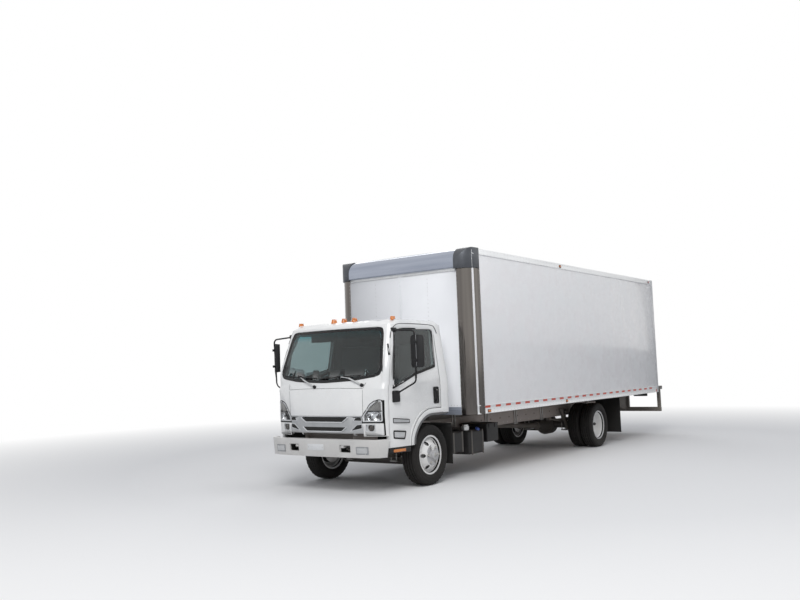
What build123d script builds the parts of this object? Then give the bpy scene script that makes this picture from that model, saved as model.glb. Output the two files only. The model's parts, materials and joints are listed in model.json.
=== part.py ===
from build123d import *
import os
from math import cos, radians, sin

# Box truck: a low cab-forward chassis that carries a riveted dry-freight body.
# Millimetres. +X is forward, +Y is the truck's left, +Z is up, and z = 0 is the ground.
# The origin lies on the ground, midway between the front bumper and the rear step.

# Layout
wheelbase = 5385
front_overhang = 1180
rear_overhang = 3225
overall_length = front_overhang + wheelbase + rear_overhang
front_axle_x = overall_length / 2 - front_overhang
rear_axle_x = front_axle_x - wheelbase
rear_end_x = -overall_length / 2

# Clearances
seat_gap = 0.3
running_fit = 0.05
door_gap = 8

# Wheels and tyres
tyre_radius = 405
tyre_width = 226
rim_seat_radius = 248
rim_lip_radius = 262
rim_width = 164
rim_wall = 9
lip_thickness = 8
front_track = 1750
rear_track = 1700
dual_spacing = 254
hand_holes = 6
hand_hole_radius = 27
hand_hole_circle = 178
lug_count = 6
lug_circle = 111
lug_radius = 16
drum_radius = 165

# Front axle and steering
kingpin_y = 740
kingpin_radius = 17
spindle_radius = 32
arm_length = 150
tie_rod_z = 285
beam_height = 92
beam_width = 84
beam_drop = 95

# Chassis frame
frame_top = 800
frame_depth = 215
frame_half_width = 425
frame_flange = 62
frame_plate = 7
frame_front_x = front_axle_x + 960
frame_rear_x = rear_axle_x - 2860
spring_y = 395
spring_width = 70
leaf_thickness = 12

# Freight body
body_front_x = front_axle_x - 720
body_length = 7578
body_rear_x = body_front_x - body_length
body_half_width = 1220
body_bottom = 887
body_top = 3300
wall_thickness = 40
rail_stand_out = 6
bottom_rail_height = 128
top_rail_height = 86
corner_radius = 125
corner_leg = 150
nose_height = 240
nose_radius = 140
floor_top = 1030
floor_thickness = 34
long_sill_width = 64
rear_frame_depth = 96
rear_post_width = 104
rear_header_height = 170
door_sections = 7

# Cab
cab_wall = 50
cab_floor_top = 860
cab_floor_thickness = 40
seat_platform_top = 1000
tunnel_half_width = 330
tunnel_top = 1160
platform_front_x = front_axle_x + 470
glass_thickness = 6
glass_recess = 5

# Cab form, by level: height, front at the centre line, bow of the front, half width, rear,
# front corner radius, rear corner radius. Front and rear are measured from the front axle.
cab_levels = [
    (575, 1036, 50, 1000, -500, 70, 100),
    (1000, 1060, 52, 1004, -505, 70, 100),
    (1330, 1064, 58, 1004, -505, 76, 100),
    (1410, 1032, 78, 1000, -503, 86, 100),
    (2165, 800, 104, 908, -486, 100, 110),
    (2228, 660, 66, 850, -430, 120, 120),
    (2258, 430, 34, 640, -240, 130, 130),
]


def side_plane(y=0):
    """A plane whose local x and y are the truck's X and Z, at this Y."""
    return Plane(origin=(0, y, 0), x_dir=(1, 0, 0), z_dir=(0, -1, 0))


def cab_form(inset=0):
    """The cab's outer form, or the same form drawn in by an inset, as one solid."""
    with BuildPart() as form:
        for height, front, bow, half, rear, front_radius, rear_radius in cab_levels:
            lowered = height - (inset if height > cab_levels[3][0] else 0)
            front_x = front_axle_x + front - inset
            rear_x = front_axle_x + rear + inset
            half_y = half - inset
            corner_x = front_x - bow
            with BuildSketch(Plane.XY.offset(lowered)) as level:
                with BuildLine():
                    Line((rear_x, -half_y), (corner_x, -half_y))
                    ThreePointArc((corner_x, -half_y), (front_x, 0), (corner_x, half_y))
                    Line((corner_x, half_y), (rear_x, half_y))
                    Line((rear_x, half_y), (rear_x, -half_y))
                make_face()
                fillet(level.vertices().sort_by(Axis.X)[:2], rear_radius - inset)
                fillet(level.vertices().sort_by(Axis.X)[-2:], front_radius - inset)
        loft(ruled=True)
    return form


# Cab shell: walls, floor with a raised seat platform and an engine tunnel, open below
outer_form = cab_form()
inner_form = cab_form(cab_wall)
floor_bottom = cab_floor_top - cab_floor_thickness
skirt_wall = 40
skirt_front_x = front_axle_x + cab_levels[0][1] - cab_wall
cab_front_limit = front_axle_x + 1200
cab_rear_limit = front_axle_x - 700

# The cabin is the inner form above the floor, the platform and the tunnel
with BuildPart() as cabin_space:
    add(inner_form.part)
    with BuildSketch(side_plane()):
        with BuildLine():
            Polyline(
                (cab_rear_limit, 400),
                (cab_front_limit, 400),
                (cab_front_limit, cab_floor_top),
                (platform_front_x, cab_floor_top),
                (platform_front_x, seat_platform_top),
                (cab_rear_limit, seat_platform_top),
                close=True,
            )
        make_face()
    extrude(amount=body_half_width, both=True, mode=Mode.SUBTRACT)
    with BuildSketch(Plane.YZ.offset(cab_rear_limit)):
        with Locations((0, tunnel_top / 2)):
            Rectangle(2 * tunnel_half_width, tunnel_top)
    extrude(amount=platform_front_x - cab_rear_limit, mode=Mode.SUBTRACT)

# The wall band is what doors, lamps, grille and glass are cut from
with BuildPart() as wall_band:
    add(outer_form.part)
    add(inner_form.part, mode=Mode.SUBTRACT)

# Cab tilt pivot: a pin on each rail's outside, in a lug below the cab's front floor
pivot_forward = 950
pivot_height = 760
pivot_radius = 20
pivot_lug_radius = 31
lug_inner = 446
lug_width = 30

# Wheel arch, measured from the front axle
arch_top = 957
arch_turn = (395, 660)
arch_middle = (262, 850)
arch_foot = (452, 560)


def arch_face(spread=0):
    """The wheel arch seen from the side, spread outwards for the flare's edge."""
    rear_x = cab_rear_limit
    turn_x = front_axle_x + arch_turn[0] + spread
    with BuildSketch(side_plane()) as face:
        with BuildLine():
            Line((rear_x, 0), (rear_x, arch_top + spread))
            Line((rear_x, arch_top + spread), (front_axle_x, arch_top + spread))
            ThreePointArc(
                (front_axle_x, arch_top + spread),
                (front_axle_x + arch_middle[0] + 0.72 * spread, arch_middle[1] + 0.72 * spread),
                (turn_x, arch_turn[1] + 0.2 * spread),
            )
            Line((turn_x, arch_turn[1] + 0.2 * spread), (front_axle_x + arch_foot[0] + spread, 0))
            Line((front_axle_x + arch_foot[0] + spread, 0), (rear_x, 0))
        make_face()
    return face


# Door outline on the side, measured from the front axle
door_front = 930
door_front_top = 690
door_belt = 1310
door_top = 2118
door_rear = -245
door_corner_radius = 110
flare_width = 66
door_lowest = 540


def door_face(inset=0):
    """The door seen from the side, drawn in by the gap round it."""
    with BuildSketch(side_plane()) as face:
        with BuildLine():
            Polyline(
                (front_axle_x + door_front, door_lowest),
                (front_axle_x + door_front, door_belt),
                (front_axle_x + door_front_top, door_top),
                (front_axle_x + door_rear, door_top),
                (front_axle_x + door_rear, door_lowest),
                close=True,
            )
        make_face()
        fillet(face.vertices().group_by(Axis.X)[0].sort_by(Axis.Y)[-1], door_corner_radius)
        fillet(face.vertices().group_by(Axis.Y)[-1].sort_by(Axis.X)[-1], 40)
        add(arch_face(flare_width).sketch, mode=Mode.SUBTRACT)
        if inset:
            offset(amount=-inset, kind=Kind.INTERSECTION)
    return face


# Door window, measured from the front axle
window_outline = [
    (812, 1345),
    (664, 2010),
    (640, 2048),
    (-120, 2064),
    (-150, 2020),
    (-150, 1600),
    (322, 1505),
]
window_corner_radius = 28


def window_face(inset=0):
    """The door's window opening seen from the side."""
    with BuildSketch(side_plane()) as face:
        with BuildLine():
            Polyline([(front_axle_x + x, z) for x, z in window_outline], close=True)
        make_face()
        fillet(face.vertices(), window_corner_radius)
        if inset:
            offset(amount=-inset, kind=Kind.INTERSECTION)
    return face


# Windshield opening, seen from the front
shield_low_centre = 1424
shield_low_side = 1500
shield_top = 2128
shield_half_low = 898
shield_half_top = 806
shield_corner_radius = 60


def shield_face(inset=0):
    """The windshield opening seen from the front."""
    with BuildSketch(Plane.YZ.offset(front_axle_x + 450)) as face:
        with BuildLine():
            Line((shield_half_low, shield_low_side), (shield_half_top, shield_top))
            Line((shield_half_top, shield_top), (-shield_half_top, shield_top))
            Line((-shield_half_top, shield_top), (-shield_half_low, shield_low_side))
            ThreePointArc(
                (-shield_half_low, shield_low_side),
                (0, shield_low_centre),
                (shield_half_low, shield_low_side),
            )
        make_face()
        fillet(face.vertices(), shield_corner_radius)
        if inset:
            offset(amount=-inset, kind=Kind.INTERSECTION)
    return face


# Rear window of the cab
rear_window_width = 900
rear_window_bottom = 1500
rear_window_top = 1930


def rear_window_face(inset=0):
    """The cab's rear window seen from behind."""
    with BuildSketch(Plane.YZ.offset(cab_rear_limit)) as face:
        with Locations((0, (rear_window_bottom + rear_window_top) / 2)):
            RectangleRounded(
                rear_window_width - 2 * inset,
                rear_window_top - rear_window_bottom - 2 * inset,
                50,
            )
    return face


# Headlamp outline, seen from the front
lamp_outline = [(672, 735), (985, 735), (985, 1185), (880, 1185), (700, 1060), (672, 1010)]
grille_half_width = 655
grille_bottom = 762
grille_top = 990
corner_bottom = 728
front_cut_x = front_axle_x + door_front + door_gap


def lamp_face(inset=0):
    """The left headlamp's opening seen from the front."""
    with BuildSketch(Plane.YZ.offset(front_cut_x)) as face:
        with BuildLine():
            Polyline(lamp_outline, close=True)
        make_face()
        if inset:
            offset(amount=-inset, kind=Kind.INTERSECTION)
    return face


def grille_face(inset=0):
    """The grille's opening seen from the front."""
    with BuildSketch(Plane.YZ.offset(front_cut_x)) as face:
        with Locations((0, (grille_bottom + grille_top) / 2)):
            Rectangle(2 * (grille_half_width - inset), grille_top - grille_bottom - 2 * inset)
    return face


# Door hinges: a pin between two knuckles on the cab, through one knuckle on the door
hinge_x = front_axle_x + door_front - door_gap - 5
hinge_y = 1000
hinge_radius = 9
hinge_pin_radius = 4
hinge_knuckle = 26
hinge_play = 1
hinge_heights = (694, 1230)

wing_depth = 400

# The door's opening reaches further in than the door, so that the door clears the floor's edge
door_inner_gap = 7

with BuildPart() as left_door_cut:
    add(outer_form.part)
    add(cab_form(cab_wall + door_inner_gap).part, mode=Mode.SUBTRACT)
    extrude(door_face().sketch, amount=1.2 * body_half_width, dir=(0, 1, 0), mode=Mode.INTERSECT)

with BuildPart() as cab_shell:
    add(outer_form.part)
    add(cabin_space.part, mode=Mode.SUBTRACT)
    extrude(arch_face().sketch, amount=body_half_width, both=True, mode=Mode.SUBTRACT)
    # Open underside inside the skirts, below the front floor, the platform and the tunnel
    with BuildSketch(Plane.YZ.offset(platform_front_x - cab_floor_thickness)):
        with Locations((0, floor_bottom / 2)):
            Rectangle(2 * (cab_levels[0][3] - skirt_wall), floor_bottom)
    extrude(amount=skirt_front_x - platform_front_x + cab_floor_thickness, mode=Mode.SUBTRACT)
    with BuildSketch(Plane.YZ.offset(cab_rear_limit)):
        with Locations((0, (seat_platform_top - cab_floor_thickness) / 2)):
            Rectangle(2 * (cab_levels[0][3] - cab_wall), seat_platform_top - cab_floor_thickness)
        with Locations((0, (tunnel_top - cab_floor_thickness) / 2)):
            Rectangle(
                2 * (tunnel_half_width - cab_floor_thickness),
                tunnel_top - cab_floor_thickness,
            )
    extrude(amount=platform_front_x - cab_floor_thickness - cab_rear_limit, mode=Mode.SUBTRACT)
    extrude(shield_face().sketch, amount=800, dir=(1, 0, 0), mode=Mode.SUBTRACT)
    extrude(rear_window_face().sketch, amount=400, dir=(1, 0, 0), mode=Mode.SUBTRACT)
    extrude(lamp_face().sketch, amount=wing_depth, dir=(1, 0, 0), mode=Mode.SUBTRACT)
    extrude(
        mirror(lamp_face().sketch, about=Plane.XZ, mode=Mode.PRIVATE),
        amount=wing_depth,
        dir=(1, 0, 0),
        mode=Mode.SUBTRACT,
    )
    extrude(grille_face().sketch, amount=wing_depth, dir=(1, 0, 0), mode=Mode.SUBTRACT)
    add(left_door_cut.part, mode=Mode.SUBTRACT)
    add(mirror(left_door_cut.part, about=Plane.XZ, mode=Mode.PRIVATE), mode=Mode.SUBTRACT)
    # Front wall ends above the bumper, and below the grille between the lamps
    with BuildSketch(Plane.YZ.offset(front_cut_x)):
        with Locations((0, corner_bottom / 2)):
            Rectangle(2 * body_half_width, corner_bottom)
        with Locations((0, grille_bottom / 2)):
            Rectangle(2 * grille_half_width, grille_bottom)
    extrude(amount=wing_depth, mode=Mode.SUBTRACT)
    # Lugs of the tilt pivot, below the front floor
    for side in (1, -1):
        with BuildSketch(side_plane(side * lug_inner)):
            with Locations((front_axle_x + pivot_forward, pivot_height)):
                Circle(pivot_lug_radius)
            with Locations((front_axle_x + pivot_forward, (pivot_height + floor_bottom + 5) / 2)):
                Rectangle(2 * pivot_lug_radius, floor_bottom + 5 - pivot_height)
            with Locations((front_axle_x + pivot_forward, pivot_height)):
                Circle(pivot_radius + running_fit, mode=Mode.SUBTRACT)
        extrude(amount=-side * lug_width)
        for height in hinge_heights:
            for low in (
                height - 1.5 * hinge_knuckle - hinge_play,
                height + 0.5 * hinge_knuckle + hinge_play,
            ):
                with BuildSketch(Plane.XY.offset(low)):
                    with Locations((hinge_x, side * hinge_y)):
                        Circle(hinge_radius)
                    with Locations((hinge_x + door_gap, side * (hinge_y - hinge_radius / 2))):
                        Rectangle(2 * door_gap, hinge_radius)
                extrude(amount=hinge_knuckle)
            with BuildSketch(Plane.XY.offset(height - hinge_knuckle)):
                with Locations((hinge_x, side * hinge_y)):
                    Circle(hinge_pin_radius)
            extrude(amount=2 * hinge_knuckle)


def mirrored(piece):
    """The same piece on the truck's other side."""
    with BuildPart() as other:
        add(mirror(piece.part, about=Plane.XZ, mode=Mode.PRIVATE))
    return other


def both_sides(piece):
    """The piece together with its mirror image on the other side."""
    with BuildPart() as pair:
        add(piece.part)
        add(mirror(piece.part, about=Plane.XZ, mode=Mode.PRIVATE))
    return pair


# Doors: each is the wall band inside its outline, with its window cut out
with BuildPart() as door_left:
    add(wall_band.part)
    extrude(
        door_face(door_gap).sketch,
        amount=1.2 * body_half_width,
        dir=(0, 1, 0),
        mode=Mode.INTERSECT,
    )
    extrude(
        window_face().sketch, amount=1.2 * body_half_width, dir=(0, 1, 0), mode=Mode.SUBTRACT
    )
    for height in hinge_heights:
        for low in (
            height - 1.5 * hinge_knuckle - 2 * hinge_play,
            height + 0.5 * hinge_knuckle,
        ):
            with BuildSketch(Plane.XY.offset(low)):
                with Locations((hinge_x, hinge_y)):
                    Circle(hinge_radius + hinge_play)
                with Locations((hinge_x + hinge_radius + hinge_play, hinge_y)):
                    Rectangle(2 * (hinge_radius + hinge_play), 2 * (hinge_radius + hinge_play))
            extrude(amount=hinge_knuckle + 2 * hinge_play, mode=Mode.SUBTRACT)
        with BuildSketch(Plane.XY.offset(height - 0.5 * hinge_knuckle)):
            with Locations((hinge_x, hinge_y)):
                Circle(hinge_radius)
        extrude(amount=hinge_knuckle)
        with BuildSketch(Plane.XY.offset(height - 0.5 * hinge_knuckle)):
            with Locations((hinge_x, hinge_y)):
                Circle(hinge_pin_radius + running_fit)
        extrude(amount=hinge_knuckle, mode=Mode.SUBTRACT)
door_right = mirrored(door_left)

# Glass follows the cab form a little below its surface
with BuildPart() as glass_band:
    add(cab_form(glass_recess).part)
    add(cab_form(glass_recess + glass_thickness).part, mode=Mode.SUBTRACT)

with BuildPart() as door_glass_left:
    add(glass_band.part)
    extrude(
        window_face(seat_gap).sketch,
        amount=1.2 * body_half_width,
        dir=(0, 1, 0),
        mode=Mode.INTERSECT,
    )
door_glass_right = mirrored(door_glass_left)

with BuildPart() as windshield:
    add(glass_band.part)
    extrude(shield_face(seat_gap).sketch, amount=800, dir=(1, 0, 0), mode=Mode.INTERSECT)

with BuildPart() as rear_window:
    add(glass_band.part)
    extrude(rear_window_face(seat_gap).sketch, amount=400, dir=(1, 0, 0), mode=Mode.INTERSECT)

with BuildPart() as cab_glass:
    add(windshield.part)
    add(rear_window.part)

# Grille: two wide slots and four corner vents in a panel that follows the front
# columns: bottom half width, top half width, bottom, top
grille_slots = [(352, 393, 944, 974), (337, 372, 806, 836)]
# columns: the three corners of each vent, across and up
grille_vents = [
    [(470, 974), (628, 974), (628, 944)],
    [(500, 826), (628, 872), (628, 826)],
]

with BuildPart() as grille:
    add(wall_band.part)
    extrude(
        grille_face(seat_gap).sketch, amount=wing_depth, dir=(1, 0, 0), mode=Mode.INTERSECT
    )
    with BuildSketch(Plane.YZ.offset(front_cut_x)):
        for half_low, half_high, low, high in grille_slots:
            with BuildLine():
                Polyline(
                    (-half_low, low), (half_low, low), (half_high, high), (-half_high, high),
                    close=True,
                )
            make_face()
        for corners in grille_vents:
            for side in (1, -1):
                with BuildLine():
                    Polyline([(side * across, up) for across, up in corners], close=True)
                make_face()
    extrude(amount=wing_depth, mode=Mode.SUBTRACT)

with BuildPart() as left_headlamp:
    add(wall_band.part)
    extrude(lamp_face(seat_gap).sketch, amount=wing_depth, dir=(1, 0, 0), mode=Mode.INTERSECT)
headlamps = both_sides(left_headlamp)

# Roof marker lamps; columns: forward of the front axle, across, height of the roof there
marker_places = [
    (575, 0, 2225),
    (575, 185, 2225),
    (575, -185, 2225),
    (560, 800, 2190),
    (560, -800, 2190),
]
marker_length = 96
marker_width = 62
marker_height = 66

with BuildPart() as roof_lamps:
    for forward, across, height in marker_places:
        with BuildSketch(Plane.XY.offset(height)):
            with Locations((front_axle_x + forward, across)):
                RectangleRounded(marker_length, marker_width, 20)
        extrude(amount=marker_height, taper=14)
    add(cab_form(-seat_gap).part, mode=Mode.SUBTRACT)

# Black steps below the doors: a tread with a riser up to the cab floor
step_rear = 470
step_front = 925
step_inner = 800
step_outer = 990
step_bottom = 500
step_top = cab_levels[0][0] - door_gap
step_wall = 8
tread_thickness = 30

with BuildPart() as left_step:
    with BuildSketch(Plane.YZ.offset(front_axle_x + step_rear)):
        with BuildLine():
            Polyline(
                (step_inner, floor_bottom - seat_gap),
                (step_inner, step_bottom),
                (step_outer, step_bottom),
                (step_outer, step_top),
                (step_outer - step_wall, step_top),
                (step_outer - step_wall, step_bottom + tread_thickness),
                (step_inner + step_wall, step_bottom + tread_thickness),
                (step_inner + step_wall, floor_bottom - seat_gap),
                close=True,
            )
        make_face()
    extrude(amount=step_front - step_rear)
cab_steps = both_sides(left_step)

# Dashboard, with the steering column in front of the left seat
# points: forward of the front axle, up
dash_section = [
    (955, 1130), (955, 1345), (800, 1395), (650, 1398), (578, 1356), (590, 1200), (700, 1130)
]
dash_half_width = 880
driver_y = 520
steering_centre = (front_axle_x + 480, driver_y, 1400)
steering_tilt = 32
steering_radius = 212
steering_rim = 15
column_radius = 34
column_length = 300
column_gap = 60

wheel_plane = Plane(
    origin=steering_centre,
    x_dir=(0, 1, 0),
    z_dir=(-sin(radians(steering_tilt)), 0, cos(radians(steering_tilt))),
)

with BuildPart() as dashboard:
    with BuildSketch(side_plane()):
        with BuildLine():
            Polyline([(front_axle_x + x, z) for x, z in dash_section], close=True)
        make_face()
    extrude(amount=dash_half_width, both=True)
    add(cab_form(cab_wall + seat_gap).part, mode=Mode.INTERSECT)
    with BuildSketch(wheel_plane.offset(-column_gap)):
        Circle(column_radius)
    extrude(amount=-column_length)

with BuildPart() as steering_wheel:
    with BuildSketch(Plane(steering_centre, x_dir=(0, 1, 0), z_dir=wheel_plane.y_dir)):
        with Locations((steering_radius - steering_rim, 0)):
            Circle(steering_rim)
    revolve(axis=Axis(steering_centre, wheel_plane.z_dir))
    with BuildSketch(wheel_plane.offset(-column_gap + seat_gap)):
        Circle(62)
    extrude(amount=column_gap)
    with BuildSketch(wheel_plane.offset(-14)):
        with PolarLocations(steering_radius / 2, 3, start_angle=90):
            Rectangle(steering_radius - steering_rim, 44)
    extrude(amount=16)

# Seats, one for the driver and a bench for two
# columns: lowest across, highest across
seat_places = [(285, 775), (-800, 255)]
seat_cushion_bottom = 1215
seat_cushion_top = 1330
seat_front = 150
seat_back_foot = -300
seat_back_head = -385
seat_back_top = 1930
seat_back_thickness = 95

with BuildPart() as seats:
    for low, high in seat_places:
        with BuildSketch(side_plane(low)) as outline:
            with BuildLine():
                Polyline(
                    (front_axle_x + seat_front, seat_cushion_bottom),
                    (front_axle_x + seat_front, seat_cushion_top),
                    (front_axle_x + seat_back_foot + seat_back_thickness, seat_cushion_top - 30),
                    (front_axle_x + seat_back_head + seat_back_thickness, seat_back_top),
                    (front_axle_x + seat_back_head, seat_back_top),
                    (front_axle_x + seat_back_foot - 40, seat_cushion_bottom),
                    close=True,
                )
            make_face()
            fillet(outline.vertices(), 28)
        extrude(amount=-(high - low))
    for low, high in ((tunnel_half_width + 20, 740), (-760, -tunnel_half_width - 20)):
        with BuildSketch(Plane.XY.offset(seat_platform_top + seat_gap)):
            with Locations((front_axle_x - 80, (low + high) / 2)):
                Rectangle(340, high - low)
        extrude(amount=seat_cushion_bottom + 20 - seat_platform_top)

# Mirrors: a tube loop that stands out from the door, with a tall head on it
mirror_x = front_axle_x + 684
mirror_y = 1262
mirror_top = 2060
mirror_bottom = 1400
mirror_tube_radius = 11
mirror_head_width = 172
mirror_head_height = 416
mirror_head_depth = 66
mirror_head_z = 1792
mirror_turn_left = 22
mirror_turn_right = 40
mirror_feet = [(front_axle_x + 664, 2084, 862), (front_axle_x + 782, 1222, 952)]
mirror_pads = [(84, 76), (150, 165)]
mirror_pad_height = 26


def mirror_assembly(turn):
    """A left mirror: tube loop, pads on the door and a head turned by these degrees."""
    upper_foot_x, upper_foot_z, upper_foot_y = mirror_feet[0]
    lower_foot_x, lower_foot_z, lower_foot_y = mirror_feet[1]
    turned_by = radians(turn)
    head_normal = (-cos(turned_by), -sin(turned_by), 0)
    with BuildPart() as arm:
        with BuildLine() as path:
            FilletPolyline(
                (upper_foot_x, upper_foot_y, upper_foot_z),
                (mirror_x, mirror_y, mirror_top),
                (mirror_x, mirror_y, mirror_bottom),
                (lower_foot_x, lower_foot_y, lower_foot_z),
                radius=60,
            )
        with BuildSketch(Plane(origin=path.line @ 0, z_dir=path.line % 0)):
            Circle(mirror_tube_radius)
        sweep()
        with BuildSketch(
            Plane(
                origin=(mirror_x - mirror_tube_radius, mirror_y, mirror_head_z),
                x_dir=(-sin(turned_by), cos(turned_by), 0),
                z_dir=head_normal,
            )
        ):
            RectangleRounded(mirror_head_width, mirror_head_height, 34)
        extrude(amount=mirror_head_depth, taper=6)
        for (foot_x, foot_z, foot_y), (pad_length, pad_height) in zip(mirror_feet, mirror_pads):
            with BuildSketch(side_plane(foot_y)):
                with Locations((foot_x, foot_z)):
                    RectangleRounded(pad_length, pad_height, 24)
            extrude(amount=-(cab_levels[1][3] - 952 + mirror_pad_height), taper=8)
        add(cab_form(-seat_gap).part, mode=Mode.SUBTRACT)
    return arm


mirror_left = mirror_assembly(mirror_turn_left)
mirror_right = mirrored(mirror_assembly(mirror_turn_right))

# Wheels. Profiles are drawn as offset outboard of the wheel's centre plane, and radius
half_rim = rim_width / 2
tyre_profile = [
    (half_rim - seat_gap, rim_seat_radius + seat_gap),
    (half_rim - seat_gap, rim_lip_radius + 2),
    (tyre_width / 2 - 14, rim_lip_radius + 14),
    (tyre_width / 2, 0.5 * (rim_lip_radius + tyre_radius) - 6),
    (tyre_width / 2 - 5, tyre_radius - 36),
    (tyre_width / 2 - 20, tyre_radius - 9),
    (tyre_width / 2 - 46, tyre_radius - 1.5),
    (0, tyre_radius),
]
wheel_offset = dual_spacing / 2
disc_thickness = 14
drop_radius = 226
disc_root = 52
disc_flange_radius = 142


def wheel_frame(axle_x, wheel_y):
    """A plane whose local x is outboard and whose local y is up, at the wheel's centre."""
    side = 1 if wheel_y > 0 else -1
    return Plane(origin=(axle_x, wheel_y, tyre_radius), x_dir=(0, side, 0), z_dir=(side, 0, 0))


def tyre_ring(axle_x, wheel_y):
    """One tyre, as a closed ring that sits on its rim."""
    frame_plane = wheel_frame(axle_x, wheel_y)
    with BuildPart() as ring:
        with BuildSketch(frame_plane):
            with BuildLine():
                inboard = [(-across, radius) for across, radius in tyre_profile[-2::-1]]
                Polyline(tyre_profile + inboard, close=True)
            make_face()
        revolve(axis=Axis(frame_plane.origin, frame_plane.x_dir))
    return ring


def rim_profile():
    """The rim's barrel with its two lips and drop centre, as a closed outline."""
    outer = [
        (half_rim + lip_thickness, rim_lip_radius - 22),
        (half_rim + lip_thickness, rim_lip_radius),
        (half_rim, rim_lip_radius),
        (half_rim, rim_seat_radius),
        (half_rim - 24, rim_seat_radius),
        (half_rim - 38, drop_radius),
    ]
    inner = [
        (half_rim - 34, drop_radius - rim_wall),
        (half_rim - 20, rim_seat_radius - rim_wall - 1),
    ]
    left_outer = [(-x, radius) for x, radius in outer[::-1]]
    left_inner = [(-x, radius) for x, radius in inner[::-1]]
    return outer + left_outer + left_inner + inner


def disc_profile(dish, shift=0):
    """The disc between hub and rim, dished outboard (1) or inboard (-1)."""
    return [
        (shift + dish * wheel_offset, 60),
        (shift + dish * wheel_offset, disc_flange_radius),
        (shift + dish * disc_root, drop_radius - rim_wall + 4),
        (shift + dish * (disc_root - disc_thickness), drop_radius - rim_wall + 4),
        (shift + dish * (wheel_offset - disc_thickness), disc_flange_radius - 9),
        (shift + dish * (wheel_offset - disc_thickness), 60),
    ]


def turned(frame_plane, points):
    """Revolves a closed profile about the wheel's axis inside the current part."""
    with BuildSketch(frame_plane) as outline:
        with BuildLine():
            Polyline(points, close=True)
        make_face()
    revolve(outline.sketch, axis=Axis(frame_plane.origin, frame_plane.x_dir))


def disc_pattern(frame_plane, start, length, circle, count, radius, mode):
    """A ring of round holes or studs along the wheel's axis."""
    face = Plane(
        origin=frame_plane.origin + frame_plane.x_dir * start,
        x_dir=(1, 0, 0),
        z_dir=frame_plane.x_dir,
    )
    with BuildSketch(face) as pattern:
        with PolarLocations(circle, count):
            Circle(radius)
    extrude(pattern.sketch, amount=length, dir=frame_plane.x_dir, mode=mode)


def front_wheel(wheel_y):
    """A front wheel: rim, disc dished outboard, hub, drum, cap and nuts."""
    frame_plane = wheel_frame(front_axle_x, wheel_y)
    bore = spindle_radius + running_fit
    with BuildPart() as wheel:
        turned(frame_plane, rim_profile())
        turned(frame_plane, disc_profile(1))
        disc_pattern(
            frame_plane, 40, 80, hand_hole_circle, hand_holes, hand_hole_radius, Mode.SUBTRACT
        )
        turned(
            frame_plane,
            [
                (-75, bore), (-75, drum_radius), (38, drum_radius), (60, 80), (98, 80),
                (98, 135), (wheel_offset - 6, 135), (wheel_offset - 6, 64),
                (wheel_offset + 34, 58), (wheel_offset + 42, 40), (wheel_offset + 42, 0),
                (96, 0), (96, bore),
            ],
        )
        disc_pattern(
            frame_plane, wheel_offset - 2, 24, lug_circle, lug_count, lug_radius, Mode.ADD
        )
    return wheel


rear_inner_shift = -dual_spacing
rear_spindle_radius = 46
rear_hub_inner = -335


def rear_wheel(wheel_y):
    """A rear pair: two rims back to back on one hub, with drum and nuts."""
    frame_plane = wheel_frame(rear_axle_x, wheel_y)
    bore = rear_spindle_radius + running_fit
    with BuildPart() as wheel:
        turned(frame_plane, rim_profile())
        turned(frame_plane, [(x + rear_inner_shift, radius) for x, radius in rim_profile()])
        turned(frame_plane, disc_profile(-1))
        turned(frame_plane, disc_profile(1, rear_inner_shift))
        disc_pattern(
            frame_plane, -215, 180, hand_hole_circle, hand_holes, hand_hole_radius, Mode.SUBTRACT
        )
        turned(
            frame_plane,
            [
                (rear_hub_inner, bore), (rear_hub_inner, drum_radius), (-215, drum_radius),
                (-190, 90), (-wheel_offset - 2, 90), (-wheel_offset - 2, 62), (-58, 62),
                (-48, 50), (-48, 0), (-150, 0), (-150, bore),
            ],
        )
        disc_pattern(
            frame_plane, -wheel_offset + disc_thickness - 2, 26, lug_circle, lug_count,
            lug_radius, Mode.ADD,
        )
    return wheel


front_wheel_y = front_track / 2
rear_wheel_y = (rear_track + dual_spacing) / 2
wheel_front_left = front_wheel(front_wheel_y)
wheel_front_right = front_wheel(-front_wheel_y)
wheel_rear_left = rear_wheel(rear_wheel_y)
wheel_rear_right = rear_wheel(-rear_wheel_y)
tyre_front_left = tyre_ring(front_axle_x, front_wheel_y)
tyre_front_right = tyre_ring(front_axle_x, -front_wheel_y)

with BuildPart() as tyres_rear_left:
    add(tyre_ring(rear_axle_x, rear_wheel_y).part)
    add(tyre_ring(rear_axle_x, rear_wheel_y - dual_spacing).part)
tyres_rear_right = mirrored(tyres_rear_left)

# Steering knuckles: ears round the kingpin, spindle outboard, arm straight back
ear_radius = 36
boss_height = 96
ear_height = 30
ear_gap = 1
arm_width = 34
arm_thickness = 26
tie_pin_radius = 10
tie_end_radius = 24
tie_end_height = 34
arm_bottom = tie_rod_z + tie_end_height / 2 + 1


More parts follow.
